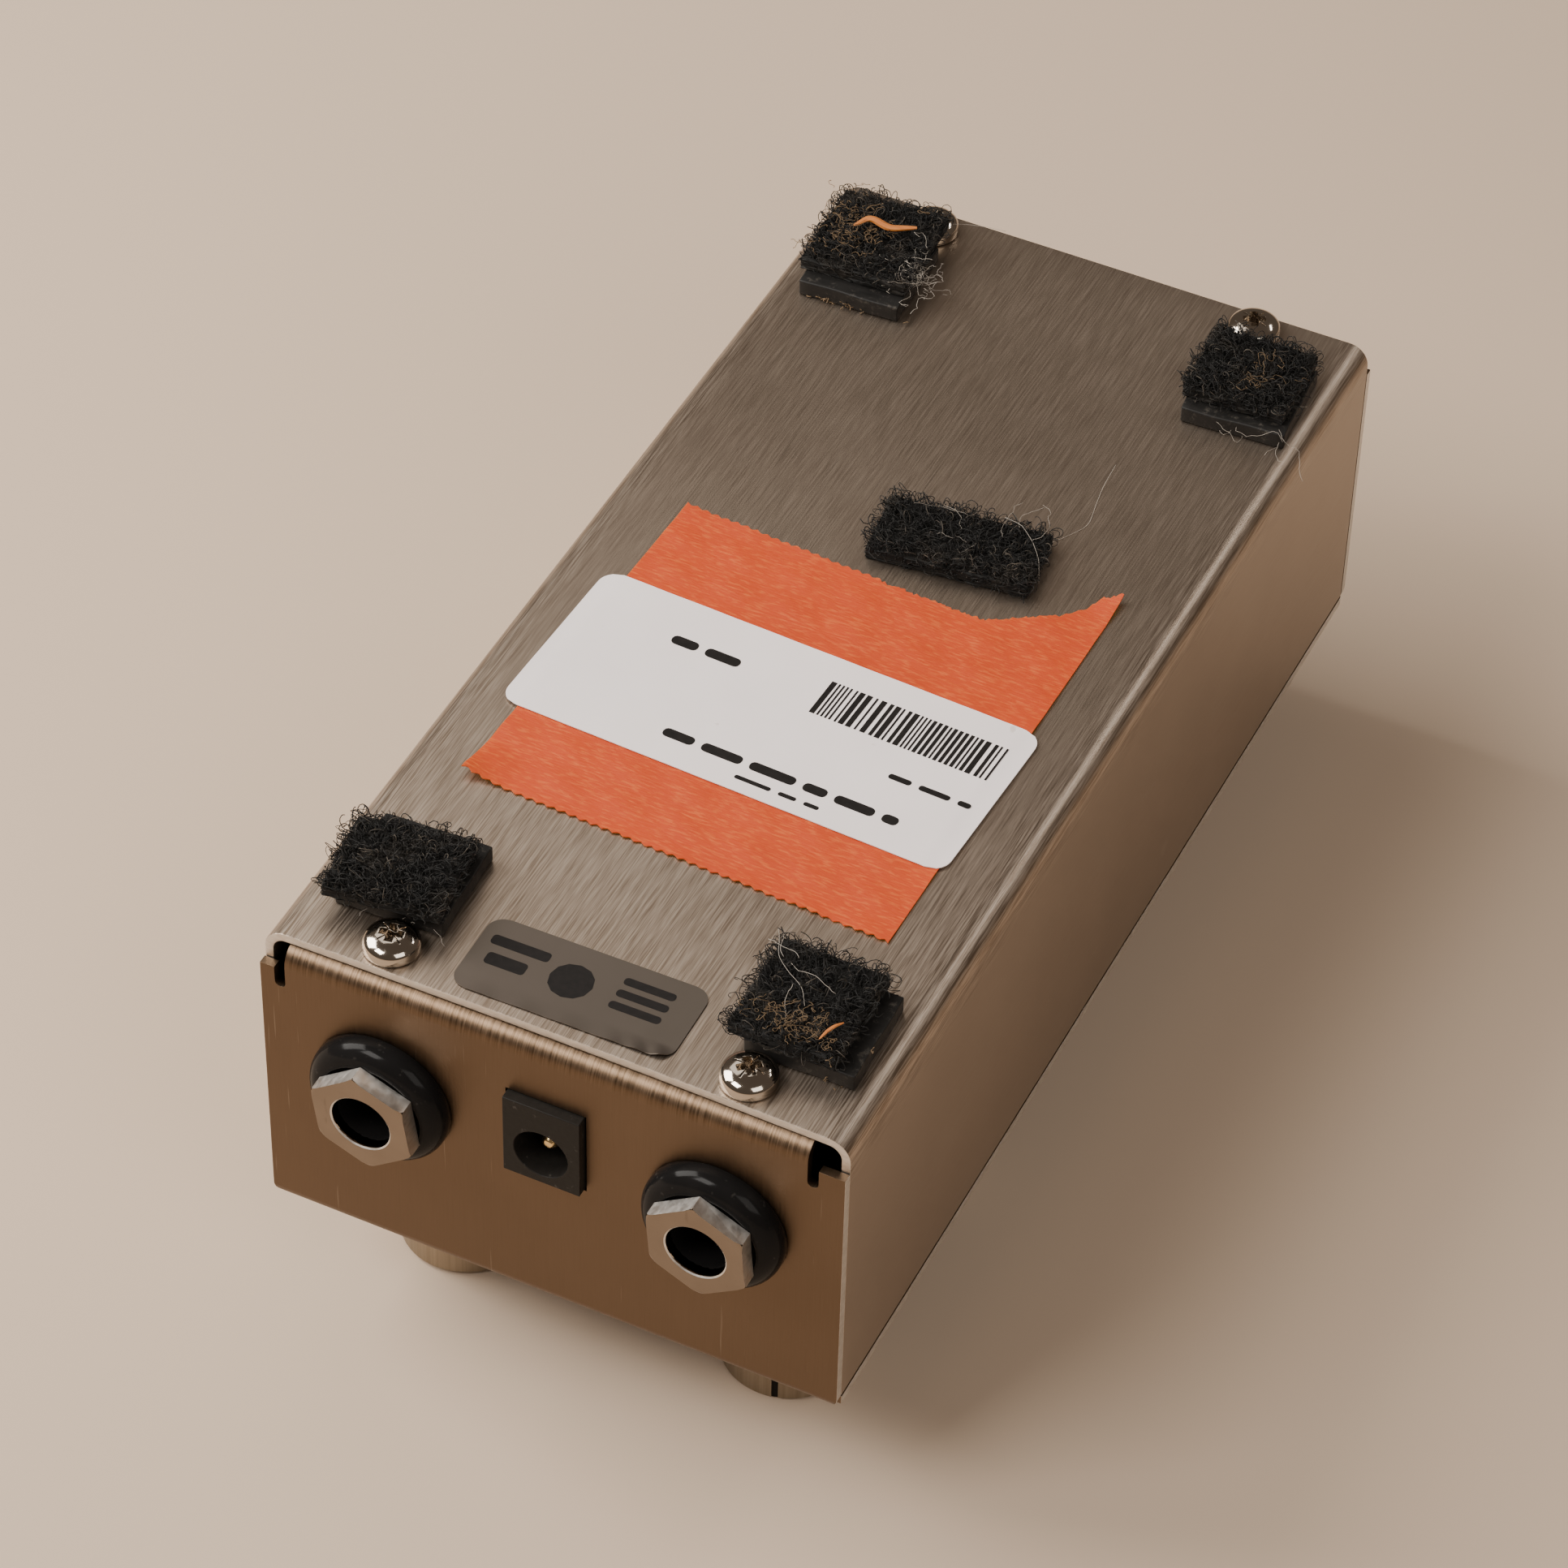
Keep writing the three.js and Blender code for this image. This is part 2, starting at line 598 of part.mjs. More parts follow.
function lamp() {
  const tip = 12.6;
  const sleeveTop = faceplateTop + 0.8;
  const bezel = turned([
    [lampRadius + 0.25, 13.9],
    [3.9, 13.9],
    [4.4, 14.4],
    [4.4, faceplateBottom - 0.1],
    [3.3, faceplateBottom - 0.1],
    [3.3, sleeveTop],
    [lampRadius + 0.25, sleeveTop],
    [lampRadius + 0.25, 13.9],
  ]);
  add("led_bezel", bezel.translate([0, lampY, 0]), chrome);
  let lens = turned([
    [0, tip],
    ...quarterRound([0, tip], [lampRadius, tip + 2.2], 5, false),
    [lampRadius, tip + 2.2],
    [lampRadius, sleeveTop + 0.4],
    [lampRadius + 0.4, sleeveTop + 0.4],
    [lampRadius + 0.4, sleeveTop + 1.4],
    [0, sleeveTop + 1.4],
  ], 20);
  const legTop = mainBoardBottom - 0.3;
  for (const x of [-1.27, 1.27]) lens = lens.add(box(x - 0.25, x + 0.25, -0.25, 0.25, sleeveTop, legTop));
  add("led_lens", lens.translate([0, lampY, 0]), redLens);
}

chassis();
bottomCover();
coverScrews();
flangeNuts();
footPads();
tapeAndLabels();
instrumentSockets();
powerSocket();
boards();
pots();
knobs();
footswitch();
lamp();

export default pedal;
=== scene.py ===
import json
import math
import random

import bmesh
import bpy
import numpy as np
from mathutils import Matrix, Vector

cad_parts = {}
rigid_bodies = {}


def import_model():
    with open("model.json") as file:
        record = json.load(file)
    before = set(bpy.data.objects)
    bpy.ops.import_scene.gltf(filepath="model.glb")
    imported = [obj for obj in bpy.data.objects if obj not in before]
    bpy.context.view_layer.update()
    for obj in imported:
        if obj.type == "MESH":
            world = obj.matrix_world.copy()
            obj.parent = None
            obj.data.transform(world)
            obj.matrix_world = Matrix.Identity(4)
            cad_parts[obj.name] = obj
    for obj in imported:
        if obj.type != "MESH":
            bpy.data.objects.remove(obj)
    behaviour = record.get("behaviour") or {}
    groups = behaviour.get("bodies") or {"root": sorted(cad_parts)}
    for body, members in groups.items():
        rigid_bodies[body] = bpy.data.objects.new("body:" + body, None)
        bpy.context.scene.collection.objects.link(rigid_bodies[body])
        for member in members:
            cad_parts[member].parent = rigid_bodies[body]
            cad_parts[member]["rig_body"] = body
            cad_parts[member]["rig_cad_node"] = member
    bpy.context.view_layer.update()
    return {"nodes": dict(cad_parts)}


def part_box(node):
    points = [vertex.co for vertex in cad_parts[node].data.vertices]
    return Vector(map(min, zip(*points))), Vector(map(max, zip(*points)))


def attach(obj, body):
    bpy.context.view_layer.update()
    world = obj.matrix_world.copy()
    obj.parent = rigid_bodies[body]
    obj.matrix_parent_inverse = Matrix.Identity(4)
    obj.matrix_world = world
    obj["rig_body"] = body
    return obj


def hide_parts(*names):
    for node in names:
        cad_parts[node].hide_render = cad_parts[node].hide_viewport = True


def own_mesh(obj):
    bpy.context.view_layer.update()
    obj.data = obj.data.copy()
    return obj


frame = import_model()
print("frame loaded")

mm = 0.001
nodes = frame["nodes"]


# camera, from a corner above the socket end

shot = {"azimuth": 24.9, "elevation": 44.29, "roll": 1.56, "place": (178.2, -396.2, 455.3), "lens": 130.9}


def makeCamera():
    turn, tilt, roll = (math.radians(shot[key]) for key in ("azimuth", "elevation", "roll"))
    back = Vector((math.sin(turn) * math.cos(tilt), -math.cos(turn) * math.cos(tilt), math.sin(tilt)))
    level = Vector((math.cos(turn), math.sin(turn), 0))
    upright = back.cross(level)
    right = math.cos(roll) * level + math.sin(roll) * upright
    up = back.cross(right)
    camera = bpy.data.objects.new("camera", bpy.data.cameras.new("camera"))
    bpy.context.scene.collection.objects.link(camera)
    camera.data.lens = shot["lens"]
    camera.data.clip_start = 0.01
    axes = Matrix((right, up, back)).transposed().to_4x4()
    camera.matrix_world = Matrix.Translation(Vector(shot["place"]) * mm) @ axes
    bpy.context.scene.camera = camera


makeCamera()


# shader maths: a wrapped socket that can be added, multiplied and so on

class Wire:
    def __init__(self, finish, socket):
        self.finish = finish
        self.socket = socket

    def maths(self, operation, first, second):
        return self.finish.node("ShaderNodeMath", {"operation": operation}, {0: first, 1: second})

    def __add__(self, other):
        return self.maths("ADD", self, other)

    def __sub__(self, other):
        return self.maths("SUBTRACT", self, other)

    def __rsub__(self, other):
        return self.maths("SUBTRACT", other, self)

    def __mul__(self, other):
        return self.maths("MULTIPLY", self, other)

    __radd__ = __add__
    __rmul__ = __mul__


class Finish:
    def __init__(self, name, **constants):
        self.material = bpy.data.materials.new(name)
        self.material.use_nodes = True
        self.tree = self.material.node_tree
        self.shader = next(n for n in self.tree.nodes if n.type == "BSDF_PRINCIPLED")
        self.set(**constants)

    def set(self, **values):
        for name, value in values.items():
            self.plug(self.shader, name.replace("_", " "), value)

    def plug(self, node, name, value):
        socket = node.inputs[name]
        if isinstance(value, Wire):
            self.tree.links.new(value.socket, socket)
        elif socket.type == "RGBA":
            socket.default_value = (*value[:3], 1)
        else:
            socket.default_value = value

    def node(self, kind, settings=None, inputs=None, output=0):
        made = self.tree.nodes.new(kind)
        for name, value in (settings or {}).items():
            if name == "stops":
                for element, (place, shade) in zip(made.color_ramp.elements, value):
                    element.position = place
                    element.color = (shade, shade, shade, 1)
            else:
                setattr(made, name, value)
        for name, value in (inputs or {}).items():
            self.plug(made, name, value)
        return Wire(self, made.outputs[output])

    def place(self, scale=(1, 1, 1), turn=0):
        objectPlace = self.node("ShaderNodeTexCoord", output="Object")
        return self.node("ShaderNodeMapping", {}, {
            "Vector": objectPlace, "Scale": scale, "Rotation": (0, 0, math.radians(turn))})

    def noise(self, scale, vector, detail=3, rough=0.55):
        return self.node("ShaderNodeTexNoise", {}, {
            "Vector": vector, "Scale": scale, "Detail": detail, "Roughness": rough})

    def ramp(self, value, *stops):
        return self.node("ShaderNodeValToRGB", {"stops": stops}, {"Fac": value})

    def mix(self, factor, first, second):
        return self.node("ShaderNodeMix", {"data_type": "RGBA"}, {0: factor, 6: first, 7: second}, 2)

    def between(self, value, start, full):
        return self.node("ShaderNodeMapRange", {}, {"Value": value, "From Min": start, "From Max": full})

    def bump(self, height, distance, strength):
        return self.node("ShaderNodeBump", {}, {
            "Height": height, "Distance": distance, "Strength": strength})


# finishes

def brushedSteel(name, grain, dark, light, glintPlaces):
    # grain is the stretch of the brushing: large numbers run across it, small ones along it;
    # the last argument lists the places where the streaks show stronger in the colour, a painted glint
    # where highlights fall, each by where it starts and is full on its axes
    finish = Finish(name, Metallic=1.0)
    # streak contrast in the colour: a little everywhere for the grain, plus painted glint at the listed
    # places
    shown, strongest = 0.14, 1.1
    for limits in glintPlaces:
        amount = strongest
        for axis, (start, full) in limits.items():
            along = finish.node("ShaderNodeSeparateXYZ", {}, {"Vector": finish.place()}, axis)
            if axis == "X":  # squared, so that it is the same on both sides
                along, start, full = along * along, start ** 2, full ** 2
            amount = finish.between(along, start, full) * amount
        shown = amount + shown
    streaks = finish.noise(1, finish.place(scale=grain), 3, 0.6)
    fine = finish.noise(1, finish.place(scale=tuple(2.7 * step for step in grain)), 2, 0.5)
    sharp = finish.ramp(streaks * 0.7 + fine * 0.3, (0.36, 0.0), (0.64, 1.0))
    patches = finish.noise(38, finish.place(), 3, 0.6)
    smears = finish.noise(9, finish.place(scale=(1, 1.6, 1), turn=25), 4, 0.5)
    long = finish.noise(1, finish.place(scale=(1900, 50, 60), turn=17), 2)
    scratch = finish.ramp(long, (0.7, 0.0), (0.75, 1.0))
    # the tone mixes mottled wear with the streaks; where the listed places add contrast, the streaks are
    # painted glint
    wearAndGlint = finish.mix(patches * 0.35 + smears * 0.35 + (sharp - 0.5) * shown + 0.17, dark, light)
    tone = finish.mix(scratch * 0.13, wearAndGlint, (0.62, 0.55, 0.47))
    rough = 0.31 + sharp * 0.1 + smears * 0.1 - scratch * 0.08
    height = sharp * 0.8 + scratch * 0.3
    finish.set(Base_Color=tone, Roughness=rough, Normal=finish.bump(height, 0.000006, 0.7))
    return finish.material


# a bright finish for cut faces: on edges it is mostly a painted highlight where they catch the light, and
# on the nuts' hex flats it is their machined finish
def cutSteel():
    finish = Finish("cut_steel", Metallic=1.0)
    tears = finish.noise(1, finish.place(scale=(900, 900, 2500)), 3)
    finish.set(Base_Color=finish.mix(tears, (0.5, 0.46, 0.42), (0.82, 0.8, 0.77)),
               Roughness=0.28 + tears * 0.25, Normal=finish.bump(tears, 0.00002, 0.6))
    return finish.material


def plated(name, light, dark, shine):
    finish = Finish(name, Metallic=1.0)
    haze = finish.noise(260, finish.place(), 3)
    nicks = finish.ramp(finish.noise(1400, finish.place(scale=(1, 1, 0.2)), 2), (0.68, 0.0), (0.76, 1.0))
    finish.set(Base_Color=finish.mix(haze * 0.6 + nicks * 0.3, light, dark),
               Roughness=shine + haze * 0.08 + nicks * 0.1, Normal=finish.bump(haze, 0.000006, 0.2))
    return finish.material


def turnedAluminium():
    finish = Finish("turned_aluminium", Metallic=1.0)
    lines = finish.noise(1, finish.place(scale=(2400, 2400, 55)), 3, 0.6)
    grime = finish.noise(160, finish.place(), 3)
    finish.set(Base_Color=finish.mix(lines, (0.22, 0.18, 0.13), (0.42, 0.36, 0.28)),
               Roughness=0.26 + lines * 0.16 + grime * 0.1, Normal=finish.bump(lines, 0.00003, 0.5))
    return finish.material


def mouldedPlastic(name, light, dark, shine, grain, depth, dirt, gleam):
    finish = Finish(name, Specular_IOR_Level=gleam)
    skin = finish.noise(grain, finish.place(), 3)
    dust = finish.ramp(finish.noise(900, finish.place(), 2, 0.7), (0.66, 0.0), (0.76, 1.0))
    tone = finish.mix(skin, dark, light)
    finish.set(Base_Color=finish.mix(dust * dirt, tone, (0.2, 0.18, 0.16)),
               Roughness=shine + skin * 0.1 + dust * dirt, Normal=finish.bump(skin, depth, 0.6))
    return finish.material


def sheetRubber():
    finish = Finish("sheet_rubber", Specular_IOR_Level=0.22)
    skin = finish.noise(2200, finish.place(), 2)
    rub = finish.noise(1, finish.place(scale=(350, 1400, 400), turn=12), 3)
    dust = finish.ramp(finish.noise(700, finish.place(), 4, 0.8), (0.55, 0.0), (0.8, 1.0))
    tone = finish.mix(rub, (0.004, 0.004, 0.0038), (0.016, 0.0145, 0.0135))
    tone = finish.mix(dust * 0.5, tone, (0.16, 0.14, 0.115))
    finish.set(Base_Color=tone, Roughness=0.42 + rub * 0.25 + dust * 0.2,
               Normal=finish.bump(skin * 0.5 + rub * 0.5, 0.00003, 0.5))
    return finish.material


def yarn(name, dark, light, dust):
    finish = Finish(name, Sheen_Weight=0.04, Sheen_Roughness=0.5, Specular_IOR_Level=0.22)
    clumps = finish.noise(900, finish.place(), 3)
    dusty = finish.ramp(finish.noise(230, finish.place(), 4, 0.75), (0.5, 0.0), (0.72, 1.0))
    tone = finish.mix(clumps, dark, light)
    finish.set(Base_Color=finish.mix(dusty * dust, tone, (0.13, 0.1, 0.07)), Roughness=0.5 + clumps * 0.25)
    return finish.material


def driedWood():
    finish = Finish("dried_wood", Subsurface_Weight=0.1)
    grain = finish.noise(1, finish.place(scale=(500, 3000, 3000)), 3)
    tone = finish.mix(grain, (0.33, 0.075, 0.008), (0.56, 0.19, 0.035))
    finish.set(Base_Color=tone, Roughness=0.55 + grain * 0.2, Normal=finish.bump(grain, 0.00005, 0.6))
    return finish.material


def crepeTape():
    finish = Finish("crepe_tape", Subsurface_Weight=0.06)
    flecks = finish.noise(1, finish.place(scale=(900, 4200, 500), turn=2.6), 2, 0.5)
    creases = finish.noise(1, finish.place(scale=(800, 3400, 500), turn=2.6), 2, 0.5)
    pale = finish.ramp(creases, (0.5, 0.0), (0.7, 1.0))
    cloud = finish.noise(130, finish.place(), 2)
    tone = finish.mix(cloud, (0.42, 0.035, 0.0003), (0.5, 0.049, 0.0006))
    tone = finish.mix(pale * 0.35, tone, (0.7, 0.165, 0.03))
    finish.set(Base_Color=tone, Roughness=0.5 + flecks * 0.3, Normal=finish.bump(flecks, 0.00008, 0.6))
    return finish.material


def printedPaper():
    finish = Finish("label_paper", Subsurface_Weight=0.05)
    fibres = finish.noise(2600, finish.place(), 3)
    stain = finish.noise(90, finish.place(), 3)
    flecks = finish.ramp(finish.noise(480, finish.place(), 1), (0.76, 0.0), (0.79, 1.0))
    tone = finish.mix(stain, (0.78, 0.71, 0.7), (0.86, 0.78, 0.77))
    tone = finish.mix(flecks * 0.35, tone, (0.35, 0.26, 0.2))
    finish.set(Base_Color=tone, Roughness=0.42 + stain * 0.2, Normal=finish.bump(fibres, 0.00001, 0.4))
    return finish.material


def labelInk():
    finish = Finish("label_ink", Specular_IOR_Level=0.15)
    wear = finish.noise(1500, finish.place(), 3)
    tone = finish.mix(wear, (0.004, 0.004, 0.004), (0.016, 0.013, 0.012))
    finish.set(Base_Color=tone, Roughness=0.5 + wear * 0.2)
    return finish.material


def silverFoil():
    finish = Finish("label_foil", Metallic=0.9)
    haze = finish.noise(1, finish.place(scale=(120, 40, 100)), 3)
    grain = finish.noise(2800, finish.place(), 2)
    tone = finish.mix(haze, (0.11, 0.092, 0.077), (0.15, 0.127, 0.107))
    finish.set(Base_Color=tone, Roughness=0.42 + haze * 0.12, Normal=finish.bump(grain, 0.000008, 0.4))
    return finish.material


def boardMask():
    finish = Finish("board_mask")
    weave = finish.node("ShaderNodeTexChecker", {}, {"Vector": finish.place(), "Scale": 1600})
    tracks = finish.ramp(finish.noise(1, finish.place(scale=(700, 90, 1)), 1), (0.5, 0.0), (0.53, 1.0))
    tone = finish.mix(tracks * 0.5, (0.012, 0.07, 0.035), (0.03, 0.13, 0.06))
    finish.set(Base_Color=tone, Roughness=0.3 + tracks * 0.1, Normal=finish.bump(weave, 0.00001, 0.3))
    return finish.material


def tintedLens():
    finish = Finish("tinted_lens", Transmission_Weight=0.5, IOR=1.5, Coat_Weight=0.6)
    swirl = finish.noise(300, finish.place(), 2)
    tone = finish.mix(swirl, (0.35, 0.01, 0.008), (0.55, 0.025, 0.015))
    finish.set(Base_Color=tone, Roughness=0.14 + swirl * 0.1)
    return finish.material


def flatCable():
    finish = Finish("flat_cable")
    ribs = finish.node("ShaderNodeTexWave", {"bands_direction": "X"}, {
        "Vector": finish.place(), "Scale": 250})
    tone = finish.mix(ribs, (0.16, 0.165, 0.17), (0.3, 0.31, 0.32))
    finish.set(Base_Color=tone, Roughness=0.5 + ribs * 0.1, Normal=finish.bump(ribs, 0.0002, 0.7))
    return finish.material


finishes = {
    # painted reflection and glint: the cover's dark warm tone is partly the steel's own and partly a dim
    # warm reflection painted in, and the listed places paint stronger streaks on the plate's near end and
    # along the tops of both bends, where highlights fall
    "cover": brushedSteel("brushed_cover", grain=(6000, 150, 6000),
                          dark=(0.24, 0.185, 0.14), light=(0.47, 0.39, 0.32),
                          glintPlaces=({"Y": (-0.005, -0.038), "Z": (0.047, 0.051)},
                                  {"X": (0.02793, 0.03033), "Z": (0.047, 0.051)})),
    # painted reflection and glint: the chassis' dark brown tone stands in for a brown surface reflected in
    # the steel, and the listed place paints stronger streaks on the flange bend, where a highlight falls
    "chassis": brushedSteel("brushed_chassis", grain=(6000, 150, 150),
                            dark=(0.082, 0.053, 0.032), light=(0.19, 0.13, 0.085),
                            glintPlaces=({"Z": (0.0495, 0.0515)},)),
    "cut": cutSteel(),
    # painted reflection: the nickel's dark brown tone stands in for a brown surface reflected in the nut
    # faces
    "nickel": plated("bright_nickel", light=(0.25, 0.205, 0.165), dark=(0.16, 0.125, 0.095), shine=0.05),
    "zinc": plated("zinc_plate", light=(0.5, 0.45, 0.39), dark=(0.34, 0.29, 0.24), shine=0.06),
    "brass": plated("pin_brass", light=(0.83, 0.62, 0.32), dark=(0.6, 0.42, 0.2), shine=0.18),
    "aluminium": turnedAluminium(),
    "gloss": mouldedPlastic("gloss_black", light=(0.011, 0.01, 0.01), dark=(0.005, 0.005, 0.005),
                            shine=0.09, grain=300, depth=0.000004, dirt=0.1, gleam=0.06),
    "matt": mouldedPlastic("matt_black", light=(0.017, 0.015, 0.013), dark=(0.009, 0.0078, 0.0068),
                           shine=0.42, grain=1500, depth=0.00003, dirt=0.2, gleam=0.12),
    "rubber": sheetRubber(),
    "yarn": yarn("loop_yarn", dark=(0.0015, 0.0015, 0.0015), light=(0.009, 0.008, 0.007), dust=0.15),
    # lighter, dusty loops: worn yarn, and also painted highlights on single fibres
    "worn_glint_yarn": yarn("worn_glint_yarn", dark=(0.03, 0.026, 0.022), light=(0.075, 0.06, 0.045), dust=0.4),
    "pale_hair": yarn("pale_hair", dark=(0.3, 0.26, 0.22), light=(0.55, 0.5, 0.44), dust=0.1),
    "tan_fibre": yarn("tan_fibre", dark=(0.1, 0.062, 0.03), light=(0.22, 0.145, 0.08), dust=0.1),
    "wood": driedWood(),
    "tape": crepeTape(),
    "paper": printedPaper(),
    "ink": labelInk(),
    "foil": silverFoil(),
    "board": boardMask(),
    "lens": tintedLens(),
    "cable": flatCable(),
}
print("finishes made")


# modelling helpers

def deselect():
    bpy.ops.object.select_all(action="DESELECT")


def only(piece):
    deselect()
    piece.select_set(True)
    bpy.context.view_layer.objects.active = piece


def editing(piece):
    only(piece)
    bpy.ops.object.mode_set(mode="EDIT")


def done():
    bpy.ops.object.mode_set(mode="OBJECT")


def choose(piece, kind, test):
    # in edit mode: selects the edges or faces that pass the test, and nothing else
    mesh = bmesh.from_edit_mesh(piece.data)
    bpy.ops.mesh.select_mode(type={"edges": "EDGE", "faces": "FACE"}[kind])
    bpy.ops.mesh.select_all(action="DESELECT")
    for part in getattr(mesh, kind):
        part.select_set(bool(test(part)))
    mesh.select_flush_mode()
    bmesh.update_edit_mesh(piece.data)


def modify(piece, kind, **settings):
    modifier = piece.modifiers.new(kind.lower(), kind)
    for name, value in settings.items():
        setattr(modifier, name, value)
    only(piece)
    bpy.ops.object.modifier_apply(modifier=modifier.name)


def settle(piece):
    only(piece)
    bpy.ops.object.transform_apply(location=True, rotation=True, scale=True)


def smooth(piece, angle):
    only(piece)
    bpy.ops.object.shade_smooth_by_angle(angle=math.radians(angle))


def finished(piece, name, finish, body="case", standsFor=(), angle=35):
    settle(piece)
    smooth(piece, angle)
    if angle < 90:
        modify(piece, "WEIGHTED_NORMAL", keep_sharp=True)
    piece.name = piece.data.name = name
    if not piece.data.materials:
        piece.data.materials.append(finishes[finish])
    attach(piece, body)
    if standsFor:
        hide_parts(*standsFor)
    return piece


def ease(piece, width, segments, angle):
    # rounds the edges that are sharper than the angle
    modify(piece, "BEVEL", width=width * mm, segments=segments, limit_method="ANGLE",
           angle_limit=math.radians(angle))


def carve(piece, tool, operation="DIFFERENCE"):
    modify(piece, "BOOLEAN", operation=operation, solver="EXACT", object=tool)
    bpy.data.objects.remove(tool)


def block(size, middle, turn=0):
    bpy.ops.mesh.primitive_cube_add(size=1, location=middle)
    piece = bpy.context.active_object
    piece.scale = size
    piece.rotation_euler.z = math.radians(turn)
    settle(piece)
    return piece


def grid(shape):
    # a flat grid from -1 to 1
    columns, rows = shape["grid"]
    bpy.ops.mesh.primitive_grid_add(x_subdivisions=columns, y_subdivisions=rows, size=2)
    return bpy.context.active_object


def divide(piece, cuts):
    editing(piece)
    bpy.ops.mesh.select_all(action="SELECT")
    bpy.ops.mesh.subdivide(number_cuts=cuts)
    done()


def weld(threshold):
    # in edit mode: closes the seams and points the faces outwards
    bpy.ops.mesh.select_all(action="SELECT")
    bpy.ops.mesh.remove_doubles(threshold=threshold)
    bpy.ops.mesh.normals_make_consistent(inside=False)


def stand(piece, place, turn):
    # turns a piece about Z and moves it to its place, in its mesh
    piece.data.transform(Matrix.Translation(place) @ Matrix.Rotation(math.radians(turn), 4, "Z"))


def middleOf(low, high, z):
    return Vector(((low.x + high.x) / 2, (low.y + high.y) / 2, z))


def turned(profile, sides, solid=True):
    # a turned piece on the Z axis from [radius, height] steps in mm, by extruding and scaling a
    # circle; a solid one starts and ends with a flat face, and the others come back to their start
    (radius, height), *steps = [(radius * mm, height * mm) for radius, height in profile]
    bpy.ops.mesh.primitive_circle_add(vertices=sides, radius=radius, location=(0, 0, height),
                                      fill_type="NGON" if solid else "NOTHING")
    piece = bpy.context.active_object
    settle(piece)
    editing(piece)
    choose(piece, "edges", lambda edge: len(edge.link_faces) < 2)
    for nextRadius, nextHeight in steps:
        bpy.ops.mesh.extrude_edges_move(TRANSFORM_OT_translate={"value": (0, 0, nextHeight - height)})
        share = nextRadius / radius
        bpy.ops.transform.resize(value=(share, share, 1), center_override=(0, 0, nextHeight))
        radius, height = nextRadius, nextHeight
    if solid:
        bpy.ops.mesh.edge_face_add()
    weld(1e-7)
    done()
    return piece


def arc(start, end, steps):
    # a quarter of an ellipse that bulges outwards between two [radius, height] points, without them
    points = []
    for step in range(1, steps):
        angle = math.pi / 2 * step / steps
        across, along = 1 - math.cos(angle), math.sin(angle)
        points.append((start[0] + (end[0] - start[0]) * across, start[1] + (end[1] - start[1]) * along))
    return points


def turnOut(piece, place):
    # a piece made on the Z axis, turned to face out of the socket end
    piece.data.transform(Matrix.Translation(place) @ Matrix.Rotation(math.pi / 2, 4, "X"))


def finer(node, finish, edge=0.12, segments=2, body="case", angle=35):
    # a copy of a CAD node with its triangles merged and its edges eased
    only(nodes[node])
    bpy.ops.object.duplicate()
    piece = bpy.context.active_object
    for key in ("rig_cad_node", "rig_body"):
        del piece[key]
    piece.parent = None
    piece.data.materials.clear()
    editing(piece)
    bpy.ops.mesh.customdata_custom_splitnormals_clear()
    bpy.ops.mesh.select_all(action="SELECT")
    bpy.ops.mesh.remove_doubles(threshold=2e-6)
    bpy.ops.mesh.dissolve_limited(angle_limit=math.radians(1))
    done()
    if edge:
        ease(piece, edge, segments, 40)
    return finished(piece, node + "_eased", finish, body, [node], angle)


# the bottom cover: a plate bent down along both sides

coverShape = {"wall": 1.0, "bend": 2.4, "bendSteps": 10, "wallSteps": 4, "grid": (30, 64), "edge": 0.14,
              "bow": 0.35, "wave": 0.05, "waveAcross": 60, "waveAlong": 95}


def bottomCover():
    low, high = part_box("bottom_cover")
    bend = coverShape["bend"] * mm
    flat = high.x - bend
    piece = grid(coverShape)
    piece.location = (0, (low.y + high.y) / 2, high.z)
    piece.scale = (flat, (high.y - low.y) / 2, 1)
    settle(piece)
    drop = (low.z - high.z + bend) / coverShape["wallSteps"]
    for side in (-1, 1):
        editing(piece)
        choose(piece, "edges", lambda edge: all(abs(v.co.x - side * flat) < 1e-6 for v in edge.verts))
        bpy.ops.mesh.spin(steps=coverShape["bendSteps"], angle=math.pi / 2,
                          center=(side * flat, 0, high.z - bend), axis=(0, -side, 0))
        for _ in range(coverShape["wallSteps"]):
            bpy.ops.mesh.extrude_edges_move(TRANSFORM_OT_translate={"value": (0, 0, drop)})
        done()
    editing(piece)
    weld(1e-6)
    done()
    # the near edge was sheared with a slight bow, and the plate is never quite flat
    wave, bow = coverShape["wave"] * mm, coverShape["bow"] * mm
    for vertex in piece.data.vertices:
        across = 1 - (vertex.co.x / high.x) ** 2
        if vertex.co.z > high.z - bend:
            swell = vertex.co.y * coverShape["waveAlong"] + vertex.co.x * coverShape["waveAcross"]
            vertex.co.z -= wave * across * math.sin(swell) ** 2
        if vertex.co.y < low.y + 1e-5 and vertex.co.z > high.z - bend:
            vertex.co.y += bow * across
    modify(piece, "SOLIDIFY", thickness=coverShape["wall"] * mm, offset=-1)
    ease(piece, coverShape["edge"], 2, 50)
    finished(piece, "bottom_cover_shell", "cover", "case", ["bottom_cover"])
    # the sheared end edges and the walls' lower edges take the bright cut finish: a painted highlight where
    # the edges catch the light
    cutAndLitFaces(piece, lambda face: abs(face.normal.y) > 0.4 or face.center.z < low.z + 0.1 * mm)


def cutAndLitFaces(piece, test):
    # faces given the bright cut finish: sheared sheet edges are rougher than the brushed faces, and their
    # brightness is a painted highlight where they catch the light
    if len(piece.data.materials) < 2:
        piece.data.materials.append(finishes["cut"])
    for face in piece.data.polygons:
        if test(face):
            face.material_index = 1


chassisShape = {"edge": 0.22, "segments": 3, "cutBand": 0.25}


